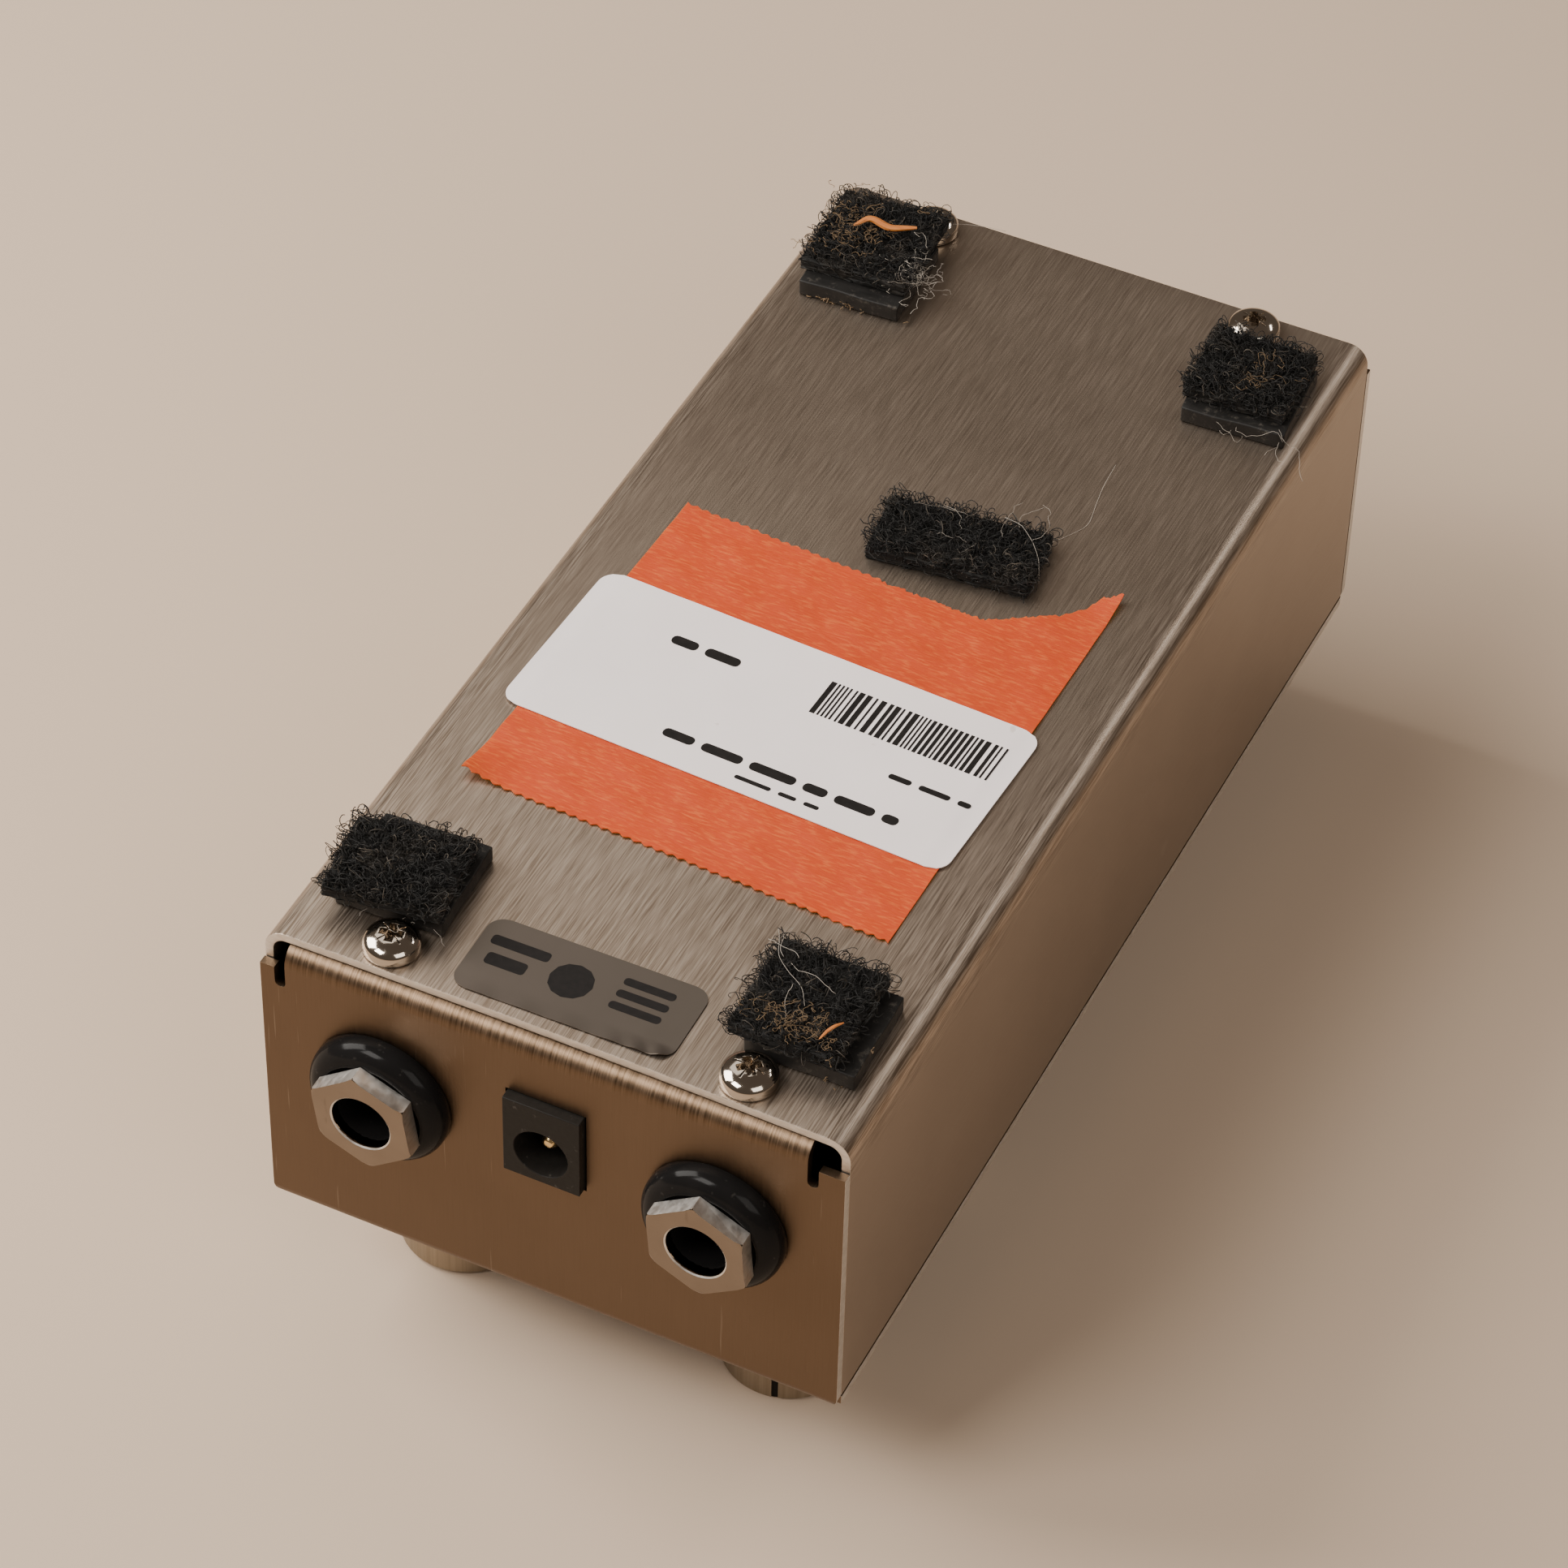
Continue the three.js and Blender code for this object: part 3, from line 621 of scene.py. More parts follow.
def chassis():
    piece = finer("chassis", "chassis", chassisShape["edge"], chassisShape["segments"])
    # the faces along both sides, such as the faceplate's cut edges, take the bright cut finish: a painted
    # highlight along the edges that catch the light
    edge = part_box("chassis")[1].x - chassisShape["cutBand"] * mm
    cutAndLitFaces(piece, lambda face: abs(face.center.x) > edge)


bottomCover()
chassis()
print("case made")


# screws: a pan head with a cross recess and four short tick marks

screwShape = {
    "shank": 1.45, "shankLength": 4.5, "rim": 2.95, "rimHeight": 0.75, "rimEase": 0.12, "crown": 2.05,
    "crownFlat": 0.7, "sides": 56, "edge": 0.05, "turns": (12, 38, 70, 25),
    "recess": {"angles": (0, 90), "halfWidth": 0.52, "halfLength": 1.55, "depth": 1.45, "taper": 0.62},
    "ticks": {"angles": (45, 135), "halfWidth": 0.06, "halfLength": 1.75, "depth": 0.3, "taper": 0.95},
}


def screwHead():
    shank, rim, rimEase, crown = (screwShape[key] for key in ("shank", "rim", "rimEase", "crown"))
    shoulder, top = (rim, screwShape["rimHeight"]), (screwShape["crownFlat"], crown)
    profile = [(shank, -screwShape["shankLength"]), (shank, 0), (rim - rimEase, 0), (rim, rimEase),
               shoulder, *arc(shoulder, top, 9), top]
    head = turned(profile, screwShape["sides"])
    for cut in (screwShape["recess"], screwShape["ticks"]):
        size = Vector((2 * cut["halfLength"], 2 * cut["halfWidth"], 2 * cut["depth"])) * mm
        for angle in cut["angles"]:
            tool = block(size, (0, 0, crown * mm), angle)
            editing(tool)
            choose(tool, "faces", lambda face: face.normal.z < -0.9)
            bpy.ops.transform.resize(value=(cut["taper"], cut["taper"], 1), center_override=(0, 0, 0))
            done()
            carve(head, tool)
    ease(head, screwShape["edge"], 2, 38)
    return head


def coverScrews():
    master = screwHead()
    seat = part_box("cover_screw_1")[1].z - screwShape["crown"] * mm
    for number, turn in enumerate(screwShape["turns"], 1):
        low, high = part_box(f"cover_screw_{number}")
        only(master)
        bpy.ops.object.duplicate()
        screw = bpy.context.active_object
        stand(screw, middleOf(low, high, seat), turn)
        finished(screw, f"cover_screw_{number}_head", "zinc", "case", [f"cover_screw_{number}"])
    bpy.data.objects.remove(master)


coverScrews()
print("screws made")


# sockets

collarShape = {"bore": 4.4, "sunk": 5.5, "lip": 5.8, "sink": 0.25, "edge": 0.1, "rimHeight": 0.75,
               "roll": 2.1, "sides": 96}


def jackCollars():
    bore, sunk, lip, edge = (collarShape[key] for key in ("bore", "sunk", "lip", "edge"))
    for number in (1, 2):
        low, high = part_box(f"jack_collar_{number}")
        radius, depth = (high.x - low.x) / 2 / mm, (high.y - low.y) / mm
        rim, face = (radius, collarShape["rimHeight"]), (radius - collarShape["roll"], depth)
        floor = depth - collarShape["sink"]
        profile = [(bore, 0), (radius - edge, 0), (radius, edge), rim, *arc(rim, face, 10), face,
                   (lip, depth), (sunk, floor), (bore, floor), (bore, 0)]
        piece = turned(profile, collarShape["sides"], solid=False)
        turnOut(piece, Vector(((low.x + high.x) / 2, high.y, (low.z + high.z) / 2)))
        finished(piece, f"jack_collar_{number}_rim", "gloss", "case", [f"jack_collar_{number}"],
                 50)


# skirt and bore are [radius, depth below the outer face]
nutShape = {"corner": 6.0, "height": 37.1, "turns": (8, 4.5), "sides": 96, "edge": 0.07,
            "skirt": ((7.2, 0.95), (6.12, 0.62), (5.9, 0.16), (5.6, 0), (2.8, 0)),
            "bore": ((3.2, 0.3), (3.27, 0.12), (3.42, 0)), "flatsFrom": 4.5, "lipTo": 3.6}


def jackNuts():
    flatsFrom, lipTo = nutShape["flatsFrom"] * mm, nutShape["lipTo"] * mm
    for number, turn in enumerate(nutShape["turns"], 1):
        low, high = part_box(f"jack_nut_{number}")
        depth = high.y - low.y
        bpy.ops.mesh.primitive_cylinder_add(vertices=6, radius=nutShape["corner"] * mm, depth=depth,
                                            location=(0, 0, depth / 2))
        piece = bpy.context.active_object
        settle(piece)
        piece.data.transform(Matrix.Rotation(math.radians(turn), 4, "Z"))
        skirt, bore = ([(radius, depth / mm - below) for radius, below in nutShape[key]]
                       for key in ("skirt", "bore"))
        cone = turned([(skirt[0][0], -0.1), *skirt], nutShape["sides"])
        drill = turned([(bore[0][0], -0.5), *bore, (bore[-1][0], depth / mm + 1)], nutShape["sides"])
        carve(piece, cone, "INTERSECT")
        carve(piece, drill)
        ease(piece, nutShape["edge"], 2, 32)
        piece.data.materials.append(finishes["nickel"])
        # the hex flats take the cut finish as their own machined finish, and the thin lip round the bore
        # takes it as a painted highlight ring
        cutAndLitFaces(piece, lambda face: abs(face.normal.z) < 0.3 and face.center.xy.length > flatsFrom)
        cutAndLitFaces(piece, lambda face: abs(face.normal.z) < 0.98 and face.center.z > depth - 0.2 * mm
                 and face.center.xy.length < lipTo)
        turnOut(piece, Vector(((low.x + high.x) / 2, high.y, nutShape["height"] * mm)))
        finished(piece, f"jack_nut_{number}_hex", "nickel", "case", [f"jack_nut_{number}"], 30)


jackCollars()
jackNuts()
finer("jack_body_1", "gloss", 0.15)
finer("jack_body_2", "gloss", 0.15)
finer("dc_jack_body", "matt", 0.18, 3)
finer("dc_jack_pin", "brass", 0.1)
print("sockets made")


# knobs with a cut pointer line

knobShape = {"radius": 7.2, "sides": 128, "chamfer": 0.45, "topEase": 0.15, "edge": 0.06,
             "dish": 0.25, "dishStart": 0.8, "dishEdge": 6.0, "dishLip": 5.9, "skirt": 6.2,
             "skirtFloor": 9.6, "bore": 3.2, "boreFloor": 3.5, "pointerWidth": 0.7, "pointerDepth": 0.35,
             "settings": (15, -76, -150, -45), "across": 18.85, "rows": (-47.95, -17.95)}


def knobs():
    radius, chamfer, topEase, dish, skirt, skirtFloor, bore = (knobShape[key] for key in (
        "radius", "chamfer", "topEase", "dish", "skirt", "skirtFloor", "bore"))
    across, nearRow, farRow = (place * mm for place in (knobShape["across"], *knobShape["rows"]))
    slack = 0.01  # keeps rounded edges inside or outside the test for the pointer's floor
    pointerFloor = (radius - knobShape["pointerDepth"] - 2 * slack) * mm
    pointerSide = (knobShape["pointerWidth"] / 2 - slack) * mm
    for number, setting in enumerate(knobShape["settings"], 1):
        low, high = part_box(f"knob_{number}")
        height = (high.z - low.z) / mm
        profile = [(knobShape["dishStart"], dish), (knobShape["dishLip"], dish), (knobShape["dishEdge"], 0),
                   (radius - chamfer, 0), (radius, chamfer), (radius, height - topEase),
                   (radius - topEase, height), (skirt, height), (skirt, skirtFloor), (bore, skirtFloor),
                   (bore, knobShape["boreFloor"])]
        piece = turned(profile, knobShape["sides"])
        size = Vector((2 * knobShape["pointerDepth"], knobShape["pointerWidth"], height * 1.2)) * mm
        carve(piece, block(size, Vector((radius, 0, height / 2)) * mm))
        ease(piece, knobShape["edge"], 2, 35)
        piece.data.materials.append(finishes["aluminium"])
        piece.data.materials.append(finishes["ink"])
        for face in piece.data.polygons:
            if face.center.x > pointerFloor and abs(face.center.y) < pointerSide:
                face.material_index = 1
        # the pointer's cut moves the middle of the box, so the axis comes from the rows
        middle = middleOf(low, high, 0)
        middle.x = math.copysign(across, middle.x)
        middle.y = nearRow if middle.y < (nearRow + farRow) / 2 else farRow
        stand(piece, middle, setting)
        finished(piece, f"knob_{number}_turned", "aluminium", f"control_{number}", [f"knob_{number}"],
                 30)


knobs()
print("knobs made")


# rubber feet and loop pads

footShape = {"size": 11.8, "turns": (3, 1, 2, 4), "edge": 0.35, "cuts": 10, "wave": 900, "sway": 0.05,
             "dent": 0.04, "dentAbove": 1.0}
padShape = [
    {"node": "loop_pad_1", "size": (12.6, 10.6), "turn": 8, "loops": 1500, "seed": 3},
    {"node": "loop_pad_2", "size": (11.6, 12.8), "turn": 0, "loops": 1500, "seed": 5},
    {"node": "loop_pad_3", "size": (12.6, 13.6), "turn": 3, "loops": 1500, "seed": 8},
    {"node": "loop_pad_4", "size": (11.7, 11.2), "turn": 2, "loops": 1500, "seed": 13},
    {"node": "loop_strip", "size": (18.2, 9.0), "turn": 6, "loops": 1700, "seed": 21},
]
bedShape = {"cover": 0.98, "height": 0.62, "cuts": 14, "edge": 0.3, "rough": 0.12}
loopShape = {"points": 11, "sides": 3, "thick": 0.052, "thickness": (0.7, 1.2), "radius": (0.32, 0.72),
             "cover": 0.49, "rootHeight": (0.15, 0.8), "lean": 0.5, "splay": 1.1, "start": (-1.9, -1.1),
             "sweep": (3.2, 8.0), "drift": 0.45, "floor": 0.06, "rise": 0.75, "wearAndGlint": 13}


def rubberFeet():
    size, sway, dent, dentAbove = (footShape[key] * mm for key in ("size", "sway", "dent", "dentAbove"))
    for number, turn in enumerate(footShape["turns"], 1):
        low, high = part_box(f"rubber_foot_{number}")
        height = high.z - low.z
        piece = block((size, size, height), (0, 0, height / 2))
        divide(piece, footShape["cuts"])
        ease(piece, footShape["edge"], 3, 60)
        rng = random.Random(number)
        phase = [rng.uniform(0, 6) for _ in range(4)]
        for vertex in piece.data.vertices:
            x, y = vertex.co.x * footShape["wave"], vertex.co.y * footShape["wave"]
            vertex.co.x += sway * math.sin(y + phase[0])
            vertex.co.y += sway * math.sin(x + phase[1])
            if vertex.co.z > dentAbove:
                vertex.co.z += dent * math.sin(x * 0.7 + phase[2]) * math.sin(y * 0.6 + phase[3])
        stand(piece, middleOf(low, high, low.z), turn)
        finished(piece, f"rubber_foot_{number}_cut", "rubber", "case", [f"rubber_foot_{number}"],
                 50)


def tubes(name, paths, thick, sides):
    # thin tubes along an array of paths: [tube, step, xyz]
    count, steps, _ = paths.shape
    along = np.gradient(paths, axis=1)
    along /= np.linalg.norm(along, axis=2)[:, :, None] + 1e-12
    first = np.cross(along, np.array((0.31, 0.52, 0.79)))
    first /= np.linalg.norm(first, axis=2)[:, :, None] + 1e-12
    second = np.cross(along, first)
    rings = []
    for corner in range(sides):
        spoke = 2 * math.pi * corner / sides
        rings.append(paths + thick * (math.cos(spoke) * first + math.sin(spoke) * second))
    points = np.stack(rings, 2).reshape(-1, 3)
    faces = []
    for tube in range(count):
        start = tube * steps * sides
        end = start + (steps - 1) * sides
        for ring in range(start, end, sides):
            for corner in range(sides):
                a, b = ring + corner, ring + (corner + 1) % sides
                faces.append((a, b, b + sides, a + sides))
        faces.append(tuple(start + corner for corner in reversed(range(sides))))
        faces.append(tuple(end + corner for corner in range(sides)))
    mesh = bpy.data.meshes.new(name)
    mesh.from_pydata(points.tolist(), [], faces)
    piece = bpy.data.objects.new(name, mesh)
    bpy.context.scene.collection.objects.link(piece)
    return piece


def loopMesh(shape, height):
    # curls of yarn that stand in a bed
    rng = np.random.default_rng(shape["seed"])
    count = shape["loops"]
    width, length = (side * mm for side in shape["size"])
    t = np.linspace(0, 1, loopShape["points"])
    reach, flat = loopShape["cover"], np.zeros(count)
    root = np.stack([rng.uniform(-reach, reach, count) * width, rng.uniform(-reach, reach, count) * length,
                     rng.uniform(*loopShape["rootHeight"], count) * height], 1)
    heading = rng.uniform(0, 2 * np.pi, count)
    side = np.stack([np.cos(heading), np.sin(heading), flat], 1)
    lean = rng.normal(0, loopShape["lean"], (count, 3)) + np.array((0, 0, 1.0))
    lean += np.stack([root[:, 0] / width, root[:, 1] / length, flat], 1) * loopShape["splay"]
    lean /= np.linalg.norm(lean, axis=1)[:, None]
    radius = rng.uniform(*loopShape["radius"], count)[:, None, None] * mm
    sweep = rng.uniform(*loopShape["sweep"], count)[:, None]
    angle = rng.uniform(*loopShape["start"], count)[:, None] + sweep * t[None, :]
    drift = rng.normal(0, loopShape["drift"], (count, 1, 3)) * mm * t[None, :, None]
    sideways, upwards = np.cos(angle)[:, :, None], 1 + np.sin(angle)[:, :, None]
    swing = sideways * side[:, None, :] + upwards * lean[:, None, :]
    path = root[:, None, :] + drift + radius * swing
    path[:, :, 2] = np.clip(path[:, :, 2], loopShape["floor"] * mm, height + loopShape["rise"] * mm)
    thick = rng.uniform(*loopShape["thickness"], count)[:, None, None] * loopShape["thick"] * mm
    piece = tubes(shape["node"], path, thick, loopShape["sides"])
    piece.data.materials.append(finishes["yarn"])
    piece.data.materials.append(finishes["worn_glint_yarn"])
    facesPerLoop = len(piece.data.polygons) // count
    # every so many loops take the lighter yarn: worn loops that also stand in for fibre highlights, painted
    for face in piece.data.polygons:
        face.material_index = int(face.index // facesPerLoop % loopShape["wearAndGlint"] == 0)
    return piece


def loopPads():
    rough = bedShape["rough"]
    for shape in padShape:
        low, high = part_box(shape["node"])
        width, length = (side * mm * bedShape["cover"] for side in shape["size"])
        thick = (high.z - low.z) * bedShape["height"]
        bed = block((width, length, thick), (0, 0, thick / 2))
        divide(bed, bedShape["cuts"])
        ease(bed, bedShape["edge"], 2, 60)
        rng = random.Random(shape["seed"])
        for vertex in bed.data.vertices:
            vertex.co += Vector([rng.uniform(-rough, rough) * mm for _ in range(3)])
        bed.data.materials.append(finishes["yarn"])
        loops = loopMesh(shape, high.z - low.z)
        only(loops)
        bed.select_set(True)
        bpy.ops.object.join()
        stand(loops, middleOf(low, high, low.z), shape["turn"])
        finished(loops, shape["node"] + "_pile", "yarn", "case", [shape["node"]], 180)


rubberFeet()
loopPads()
print("feet and pads made")


# lint, hairs and splinters caught in the pads

# name: finish, middle, spread, how many, shortest and longest, curl, thickness
lintPlan = {
    "pad_3_lint": ("pale_hair", (-16.4, 53.6, 56.2), (1.7, 1.9, 0.9), 46, (3, 8), 1.1, 0.024),
    "pad_3_fibres": ("tan_fibre", (-25.2, 57.0, 57.7), (3.4, 4.2, 0.25), 90, (1.5, 4), 0.9, 0.035),
    "pad_2_fibres": ("tan_fibre", (22.2, -55.4, 57.7), (4.0, 1.5, 0.3), 80, (1.2, 3.5), 0.9, 0.035),
    "pad_2_hairs": ("pale_hair", (18.5, -48.6, 58.1), (2.6, 2.2, 0.2), 4, (4, 8), 0.3, 0.026),
    "pad_4_fibres": ("tan_fibre", (25.8, 54.2, 57.8), (2.4, 3.4, 0.3), 18, (1.5, 4.5), 0.7, 0.03),
    "foot_4_hairs": ("pale_hair", (25.5, 49.0, 54.4), (3.8, 1.2, 0.7), 12, (4, 9), 0.5, 0.02),
    "pad_1_hairs": ("pale_hair", (-19.5, -56.6, 54.6), (3.0, 1.2, 0.8), 8, (4, 8), 0.5, 0.02),
    "strip_hairs": ("pale_hair", (8.5, 18.5, 56.0), (5.0, 2.6, 0.25), 7, (3, 7), 0.4, 0.016),
    "foot_3_crumbs": ("tan_fibre", (-22.0, 48.6, 53.6), (4.6, 0.5, 0.25), 26, (0.4, 1.2), 1.0, 0.06),
    "foot_2_crumbs": ("tan_fibre", (26.5, -55.8, 53.6), (3.0, 1.6, 0.25), 30, (0.4, 1.3), 1.0, 0.06),
}
lintShape = {"steps": 14, "sides": 3, "scatter": 0.6, "climb": 0.25, "slope": 0.5,
             "floor": 53.24, "ceiling": 58.5}
hairShape = {"thick": 0.02, "sides": 4}
hairPlan = {
    "plate_hair": ((12.8, 21.6, 53.4), (14.6, 24.5, 53.26), (16.3, 27.6, 53.25), (15.6, 31, 53.25),
                   (15.1, 34.2, 53.3), (15.0, 37.7, 53.5)),
    "strip_long_hair": ((9.0, 21.9, 56.0), (11.2, 21.3, 56.3), (13.2, 19.6, 56.1), (14.6, 18.2, 55.3),
                        (15.4, 16.6, 53.5)),
    "pad_2_long_hair": ((15.0, -45.0, 58.0), (15.9, -46.6, 58.4), (16.7, -48.6, 58.2),
                        (18.6, -50.2, 58.3), (20.6, -51.2, 58.1), (21.8, -53.2, 57.9)),
    "edge_hair": ((-17.4, 64.4, 55.5), (-15.8, 66.4, 54.6), (-13.8, 67.6, 54.1), (-11.9, 68.3, 53.7)),
}
splinterShape = {"steps": 18, "sides": 6, "flat": 0.55, "tips": (0.12, 0.2), "swell": 0.6}
splinterPlan = {
    "pad_3_splinter": {"width": 0.5, "points": (
        (-25.2, 56.4, 58.0), (-24.6, 57.6, 58.3), (-23.9, 58.3, 58.5), (-22.3, 57.9, 58.1),
        (-21.3, 57.8, 58.0), (-19.9, 58.5, 58.2), (-18.7, 59.0, 58.4))},
    "pad_2_splinter": {"width": 0.2, "points": (
        (25.0, -56.6, 57.9), (25.3, -55.4, 58.2), (25.7, -54.5, 58.3), (26.2, -53.7, 58.1))},
}


def caughtLint():
    steps = lintShape["steps"]
    for seed, (name, plan) in enumerate(lintPlan.items(), 1):
        finish, middle, spread, count, lengths, curl, thick = plan
        rng = np.random.default_rng(seed)
        scatter = rng.normal(0, 1, (count, 3)) * np.array(spread) * lintShape["scatter"]
        heading = rng.uniform(0, 2 * np.pi, (count, 1))
        heading = heading + np.cumsum(rng.normal(0, curl, (count, steps)), 1)
        climb = np.cumsum(rng.normal(0, lintShape["climb"], (count, steps)), 1)
        stride = (rng.uniform(*lengths, count) / steps)[:, None]
        moves = np.stack([np.cos(heading) * stride, np.sin(heading) * stride,
                          np.sin(climb) * stride * lintShape["slope"]], 2)
        path = ((np.array(middle) + scatter)[:, None, :] + np.cumsum(moves, 1)) * mm
        path[:, :, 2] = np.clip(path[:, :, 2], lintShape["floor"] * mm, lintShape["ceiling"] * mm)
        piece = tubes(name, path, thick * mm, lintShape["sides"])
        finished(piece, name, finish, angle=180)
    for name, points in hairPlan.items():
        piece = tubes(name, smoothPath(points), hairShape["thick"] * mm, hairShape["sides"])
        finished(piece, name, "pale_hair", angle=180)


def smoothPath(points, steps=24):
    # a curve through the points, as [1, step, xyz]
    points = np.array(points) * mm
    places = np.linspace(0, len(points) - 1, steps)
    path = np.stack([np.interp(places, np.arange(len(points)), points[:, axis]) for axis in range(3)], 1)
    for _ in range(2):
        path[1:-1] = (path[:-2] + 2 * path[1:-1] + path[2:]) / 4
    return path[None]


def splinters():
    # a flat torn sliver: thick in the middle and pointed at both ends
    steps, (startTip, endTip) = splinterShape["steps"], splinterShape["tips"]
    for name, splinter in splinterPlan.items():
        path = smoothPath(splinter["points"], steps)
        taper = np.sin(np.linspace(startTip, math.pi - endTip, steps)) ** splinterShape["swell"]
        thick = taper * splinter["width"] * mm
        piece = tubes(name, path, thick[None, :, None], splinterShape["sides"])
        centre = float(path[0, :, 2].mean())
        for vertex in piece.data.vertices:
            vertex.co.z = centre + (vertex.co.z - centre) * splinterShape["flat"]
        finished(piece, name, "wood", angle=30)


caughtLint()
splinters()
print("lint made")


# tape and labels

tapeShape = {"thick": 0.13, "teeth": 1.25, "tooth": 0.36, "tear": 0.16, "tears": 400, "ripple": 0.03,
             "grid": (200, 70), "near": ((-25.0, -35.5), (23.6, -37.6)), "left": -23.1, "right": 24.3,
             "far": ((-25.0, 11.1), (-3.9, 9.7), (12.4, 8.9), (15.1, 10.6), (19.4, 13.3), (21.3, 15.4),
                     (22.4, 17.7), (24.6, 18.8)),
             "loose": ({"at": (-25, -35.5), "reach": 6, "lift": 1.1},
                       {"at": (24.3, 18.8), "reach": 5, "lift": 0.9})}


def maskingTape():
    # cut on teeth at the near end and half of the far one, and torn along the rest
    piece = grid(tapeShape)
    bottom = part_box("masking_tape")[0].z
    farX, farY = zip(*tapeShape["far"])
    (x0, y0), (x1, y1) = tapeShape["near"]
    tears = tapeShape["tears"]
    torn = np.random.default_rng(4).normal(0, 1, tears)
    for vertex in piece.data.vertices:
        u, v = (vertex.co.x + 1) / 2, (vertex.co.y + 1) / 2
        xNear = x0 + (x1 - x0) * u
        xFar = tapeShape["left"] + (tapeShape["right"] - tapeShape["left"]) * u
        zigzag = abs((xNear / tapeShape["teeth"]) % 1 - 0.5) * 2 * tapeShape["tooth"]
        yNear = y0 + (y1 - y0) * u - zigzag
        yFar = float(np.interp(xFar, farX, farY))
        if u < 0.5:
            yFar += zigzag
        else:
            yFar += tapeShape["tear"] * float(np.interp(u * (tears - 1), np.arange(tears), torn))
        x = xNear + (xFar - xNear) * v
        y = yNear + (yFar - yNear) * v
        lift = tapeShape["ripple"] * (1 + math.sin(x * 0.9 + y * 0.3)) * (1 + math.sin(y * 1.3))
        for corner in tapeShape["loose"]:
            away = math.dist((x, y), corner["at"]) / corner["reach"]
            lift += corner["lift"] * max(0, 1 - away) ** 2
        vertex.co = Vector((x * mm, y * mm, bottom + lift * mm))
    modify(piece, "SOLIDIFY", thickness=tapeShape["thick"] * mm, offset=1)
    finished(piece, "masking_tape_crepe", "tape", "case", ["masking_tape"], 40)


def slab(width, length, corner, thick, steps):
    # a thin plate with rounded corners, centred on the origin
    bpy.ops.mesh.primitive_plane_add(size=1)
    piece = bpy.context.active_object
    piece.scale = (width * mm, length * mm, 1)
    settle(piece)
    editing(piece)
    bpy.ops.mesh.select_all(action="SELECT")
    bpy.ops.mesh.bevel(offset=corner * mm, segments=steps, affect="VERTICES")
    bpy.ops.mesh.extrude_region_move(TRANSFORM_OT_translate={"value": (0, 0, thick * mm)})
    bpy.ops.mesh.select_all(action="SELECT")
    bpy.ops.mesh.normals_make_consistent(inside=False)
    done()
    return piece


def placed(piece, shape, z):
    # a sheet or its print, where it lies on the plate
    x, y = shape["place"]
    stand(piece, (x * mm, y * mm, z), shape["turn"])


def roundedSheet(shape, lift):
    # a thin sheet with rounded corners on a fine grid; lift gives its height above where it lies
    width, length = (side / 2 for side in shape["size"])
    corner = shape["corner"]
    piece = grid(shape)
    for vertex in piece.data.vertices:
        y = vertex.co.y * length
        past = max(0, abs(y) - length + corner)
        x = vertex.co.x * (width - corner + math.sqrt(corner ** 2 - past ** 2))
        vertex.co = (x * mm, y * mm, lift(x, y) * mm)
    modify(piece, "SOLIDIFY", thickness=shape["thick"] * mm, offset=1)
    return piece


# each line is [y, start, end, height], and the bars are a block of stripes
paperShape = {"size": (51.2, 22.5), "corner": 2.0, "thick": 0.1, "place": (-0.7, -14.5), "turn": -2.6,
              "grid": (100, 60), "above": 0.06, "printAbove": 0.174, "word": (1.6, 5.4), "gap": 0.9,
              "shortest": 0.8, "rounding": 0.42,
              "lines": ((-7.2, -8.5, 18.5, 1.25), (-9.4, 1.0, 12.0, 0.55), (5.3, -14.5, -6.5, 1.3),
                        (-1.6, 14.5, 23.8, 0.75)),
              "bars": {"start": 3.0, "end": 23.2, "y": 5.2, "height": 5.2, "corner": 0.02,
                       "widths": (0.22, 0.22, 0.4, 0.6), "gaps": (0.24, 0.24, 0.42)}}


def paperLift(x, y):
    # lies over the tape's edges, with its ends on the steel a little lower
    overTape = max(0, 1 - max(0, abs(x + 0.3) - 23.4) / 1.2)
    return -0.08 * (1 - min(1, overTape)) + 0.012 * math.sin(x * 0.8) * math.sin(y * 0.6 + 1)


inkShape = {"thick": 0.012, "cornerSteps": 3}


def printedMarks(name, marks, shape, z):
    # bars of ink, each a very thin slab: [x, y, width, length, corner]
    pieces = []
    for x, y, width, length, corner in marks:
        mark = slab(width, length, corner, inkShape["thick"], inkShape["cornerSteps"])
        mark.data.transform(Matrix.Translation((x * mm, y * mm, 0)))
        pieces.append(mark)
    only(pieces[0])
    for mark in pieces[1:]:
        mark.select_set(True)
    bpy.ops.object.join()
    placed(pieces[0], shape, z)
    finished(pieces[0], name, "ink")


def paperLabel():
    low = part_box("paper_label")[0]
    piece = roundedSheet(paperShape, paperLift)
    placed(piece, paperShape, low.z + paperShape["above"] * mm)
    finished(piece, "paper_label_sheet", "paper", "case", ["paper_label"], 30)
    # plain lines that stand for print, read from the far side: words as bars, and a block of stripes
    rng = random.Random(17)
    marks = []
    for y, x, end, tall in paperShape["lines"]:
        while x < end - paperShape["shortest"]:
            word = min(rng.uniform(*paperShape["word"]), end - x)
            marks.append((x + word / 2, y, word, tall, tall * paperShape["rounding"]))
            x += word + paperShape["gap"]
    bars = paperShape["bars"]
    x = bars["start"]
    while x < bars["end"]:
        width = rng.choice(bars["widths"])
        marks.append((x + width / 2, bars["y"], width, bars["height"], bars["corner"]))
        x += width + rng.choice(bars["gaps"])
    printedMarks("paper_label_print", marks, paperShape, low.z + paperShape["printAbove"] * mm)


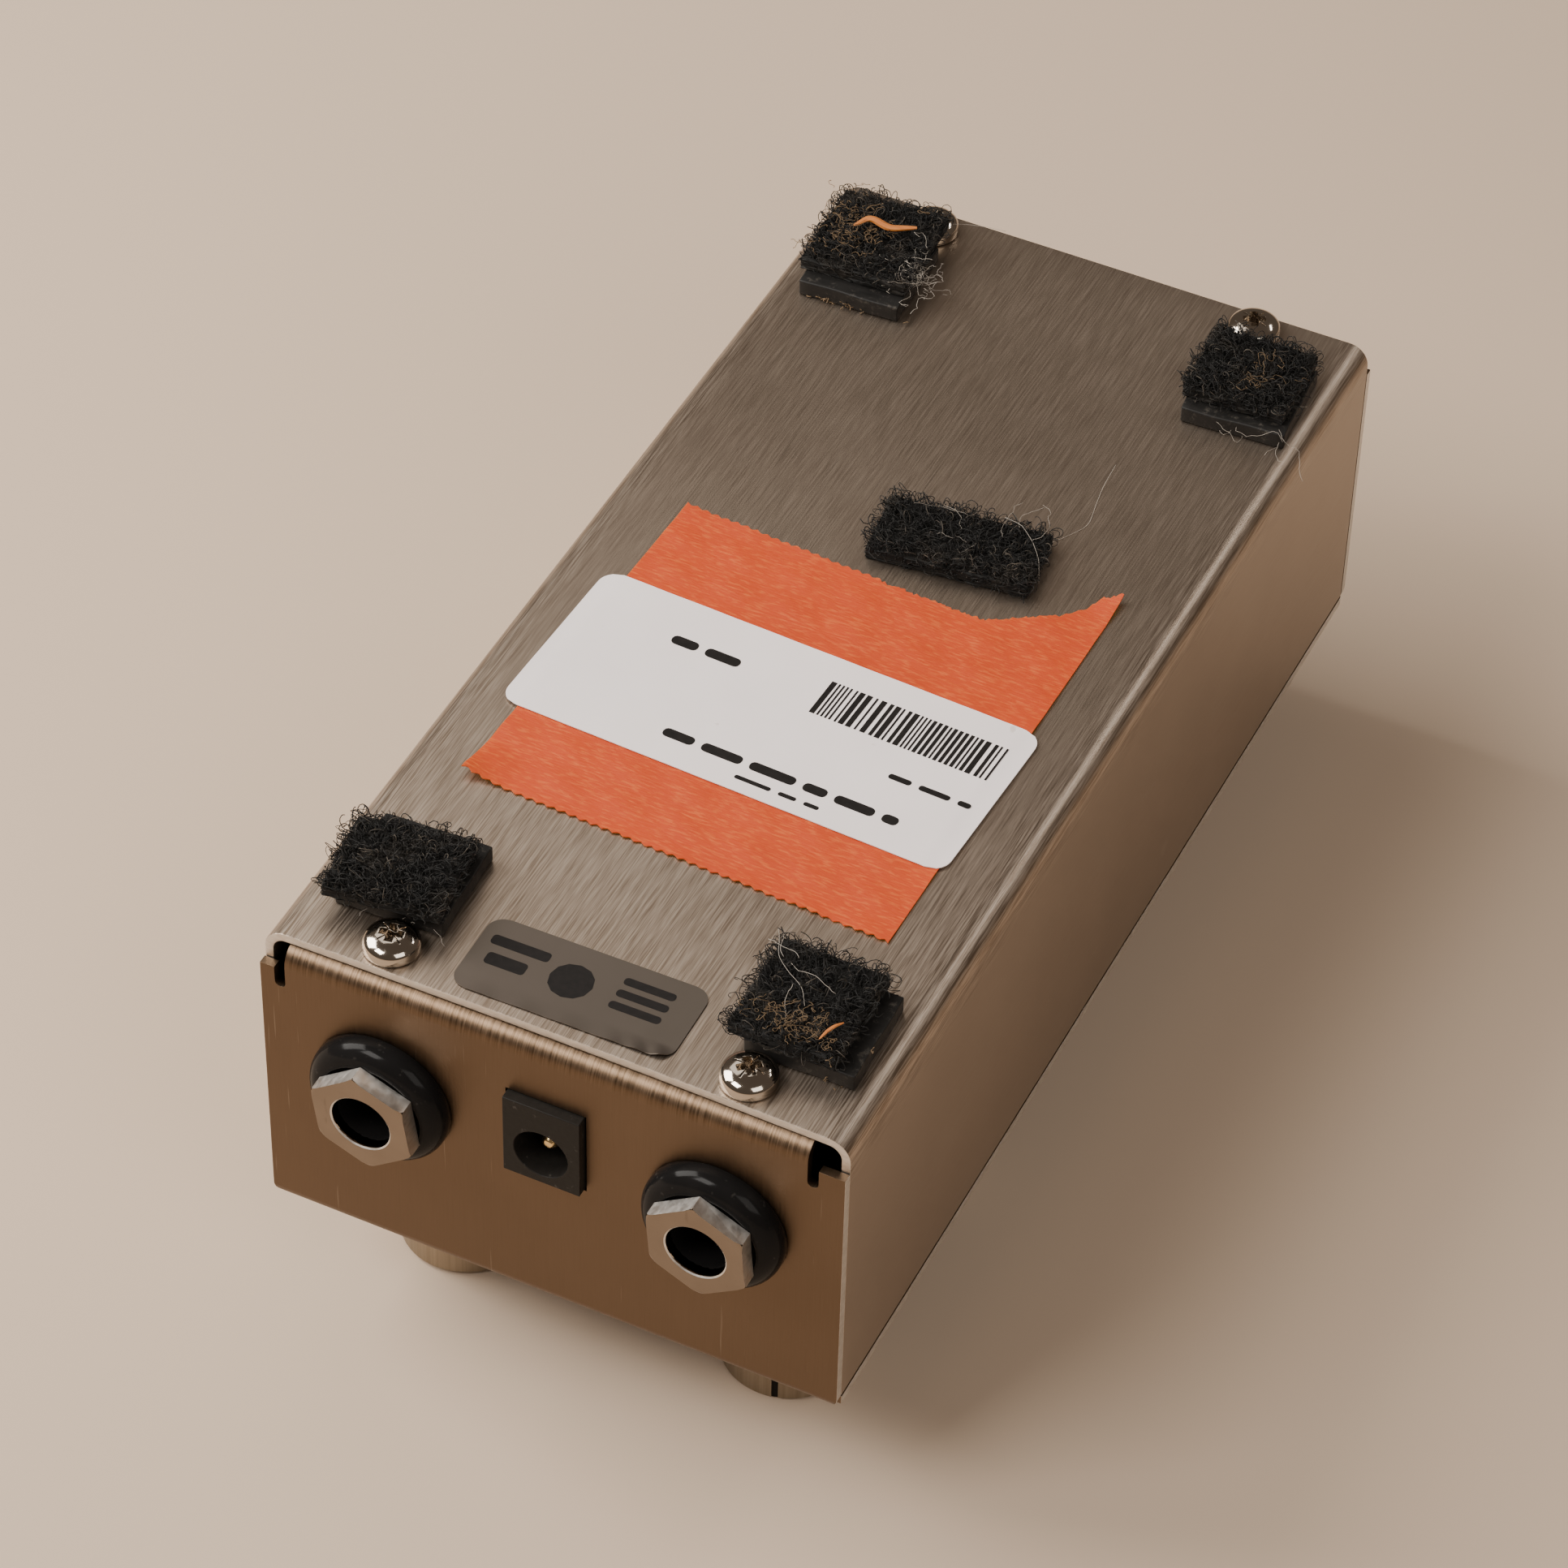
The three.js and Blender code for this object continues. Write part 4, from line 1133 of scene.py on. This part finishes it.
foilShape = {"size": (24.0, 10.2), "corner": 1.9, "thick": 0.06, "place": (-0.5, -56.9), "turn": 0.7,
             "grid": (96, 60), "printAbove": 0.064,
             "marks": ((-7.6, 2.1, 6.4, 1.3, 0.4), (-8.0, -0.4, 4.4, 1.6, 0.4), (-1.2, 0.3, 4.6, 4.6, 2.2),
                       (6.2, -0.7, 5.6, 1.0, 0.4), (6.2, 1.0, 5.6, 1.0, 0.4), (6.2, 2.7, 5.6, 1.0, 0.4))}


def foilLift(x, y):
    # the near edge has come unstuck and crinkled, most of all towards its right-hand corner
    loose = max(0, (-y - 3.2) / 1.9) ** 1.5
    corner = max(0, (x - 3) / 9) ** 2
    return loose * (0.05 + 0.03 * math.sin(x * 1.3) + corner * (0.3 + 0.2 * math.sin(x * 2.3 + y)))


def complianceLabel():
    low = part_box("compliance_label")[0]
    piece = roundedSheet(foilShape, foilLift)
    placed(piece, foilShape, low.z)
    finished(piece, "compliance_label_foil", "foil", "case", ["compliance_label"], 30)
    printedMarks("compliance_label_print", foilShape["marks"], foilShape,
                 low.z + foilShape["printAbove"] * mm)


maskingTape()
paperLabel()
complianceLabel()
print("tape and labels made")


# the rest keeps the CAD shape, with eased edges

easedSingles = {
    "footswitch_body": ("matt", 0.3), "footswitch_bushing": ("nickel", 0.12),
    "footswitch_nut": ("nickel", 0.2), "led_bezel": ("nickel", 0.1), "board_header": ("matt", 0.1),
    "main_board": ("board", 0.1), "jack_board": ("board", 0.1), "footswitch_board": ("board", 0.1),
    "ribbon_cable": ("cable", 0.1),
}
easedFours = {"flange_nut": ("zinc", 0.15), "pot_nut": ("zinc", 0.15), "pot_body": ("zinc", 0.2)}


def easedNodes():
    for node, (finish, edge) in easedSingles.items():
        finer(node, finish, edge)
    for number in range(1, 5):
        for node, (finish, edge) in easedFours.items():
            finer(f"{node}_{number}", finish, edge)
    for number in (1, 2):
        finer(f"jack_contact_{number}", "brass", 0.05)
    finer("footswitch_plunger", "nickel", 0.1, body="stomp_button")
    for number in range(1, 5):
        finer(f"pot_shaft_{number}", "aluminium", 0.15, body=f"control_{number}")
    nodes["led_lens"].data.materials.clear()
    nodes["led_lens"].data.materials.append(finishes["lens"])
    # the spring gets a mesh of its own
    spring = finer("footswitch_spring", "zinc", 0, angle=60)
    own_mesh(spring)


easedNodes()
print("inner pieces made")


# studio: a pale table, soft light

studioShape = {"tableSize": 6, "table": (0.52, 0.4, 0.3), "tableRough": 0.75, "sky": (0.5, 0.4, 0.32),
               "skyStrength": 0.3, "aim": (0, 0, 0.03)}
# name: place, size, power, colour
studioLights = {
    "key_panel": ((-0.62, -0.1, 0.52), (0.45, 0.45), 10, (1, 0.96, 0.9)),
    "front_panel": ((-0.32, -0.5, 0.7), (0.36, 0.3), 6, (1, 0.96, 0.91)),
    "right_fill": ((0.5, -0.35, 0.5), (0.4, 0.4), 2, (1, 0.95, 0.88)),
    "near_glow": ((-0.14, 0.09, 0.3), (0.15, 0.15), 0.12, (1, 0.93, 0.85)),
    "back_strip": ((0.34, 0.58, 0.6), (0.3, 0.07), 0.9, (1, 0.95, 0.9)),
}


def studio():
    bpy.ops.mesh.primitive_plane_add(size=studioShape["tableSize"], location=(0, 0, 0))
    table = bpy.context.active_object
    table.name = "table_top"
    finish = Finish("pale_table", Base_Color=studioShape["table"], Roughness=studioShape["tableRough"])
    # seen from below the table is clear, so the control face can be looked at
    clear = finish.node("ShaderNodeBsdfTransparent")
    solid = Wire(finish, finish.shader.outputs[0])
    under = finish.node("ShaderNodeNewGeometry", output="Backfacing")
    shown = finish.node("ShaderNodeMixShader", {}, {0: under, 1: solid, 2: clear})
    output = next(n for n in finish.tree.nodes if n.type == "OUTPUT_MATERIAL")
    finish.plug(output, "Surface", shown)
    table.data.materials.append(finish.material)
    world = bpy.data.worlds.new("studio")
    bpy.context.scene.world = world
    world.use_nodes = True
    sky = next(n for n in world.node_tree.nodes if n.type == "BACKGROUND")
    sky.inputs["Color"].default_value = (*studioShape["sky"], 1)
    sky.inputs["Strength"].default_value = studioShape["skyStrength"]
    for name, (place, size, power, colour) in studioLights.items():
        light = bpy.data.lights.new(name, "AREA")
        light.shape = "RECTANGLE"
        light.size, light.size_y = size
        light.energy = power
        light.color = colour
        lamp = bpy.data.objects.new(name, light)
        bpy.context.scene.collection.objects.link(lamp)
        lamp.location = place
        aim = Vector(studioShape["aim"]) - Vector(place)
        lamp.rotation_euler = aim.to_track_quat("-Z", "Y").to_euler()


studio()
print("studio made")
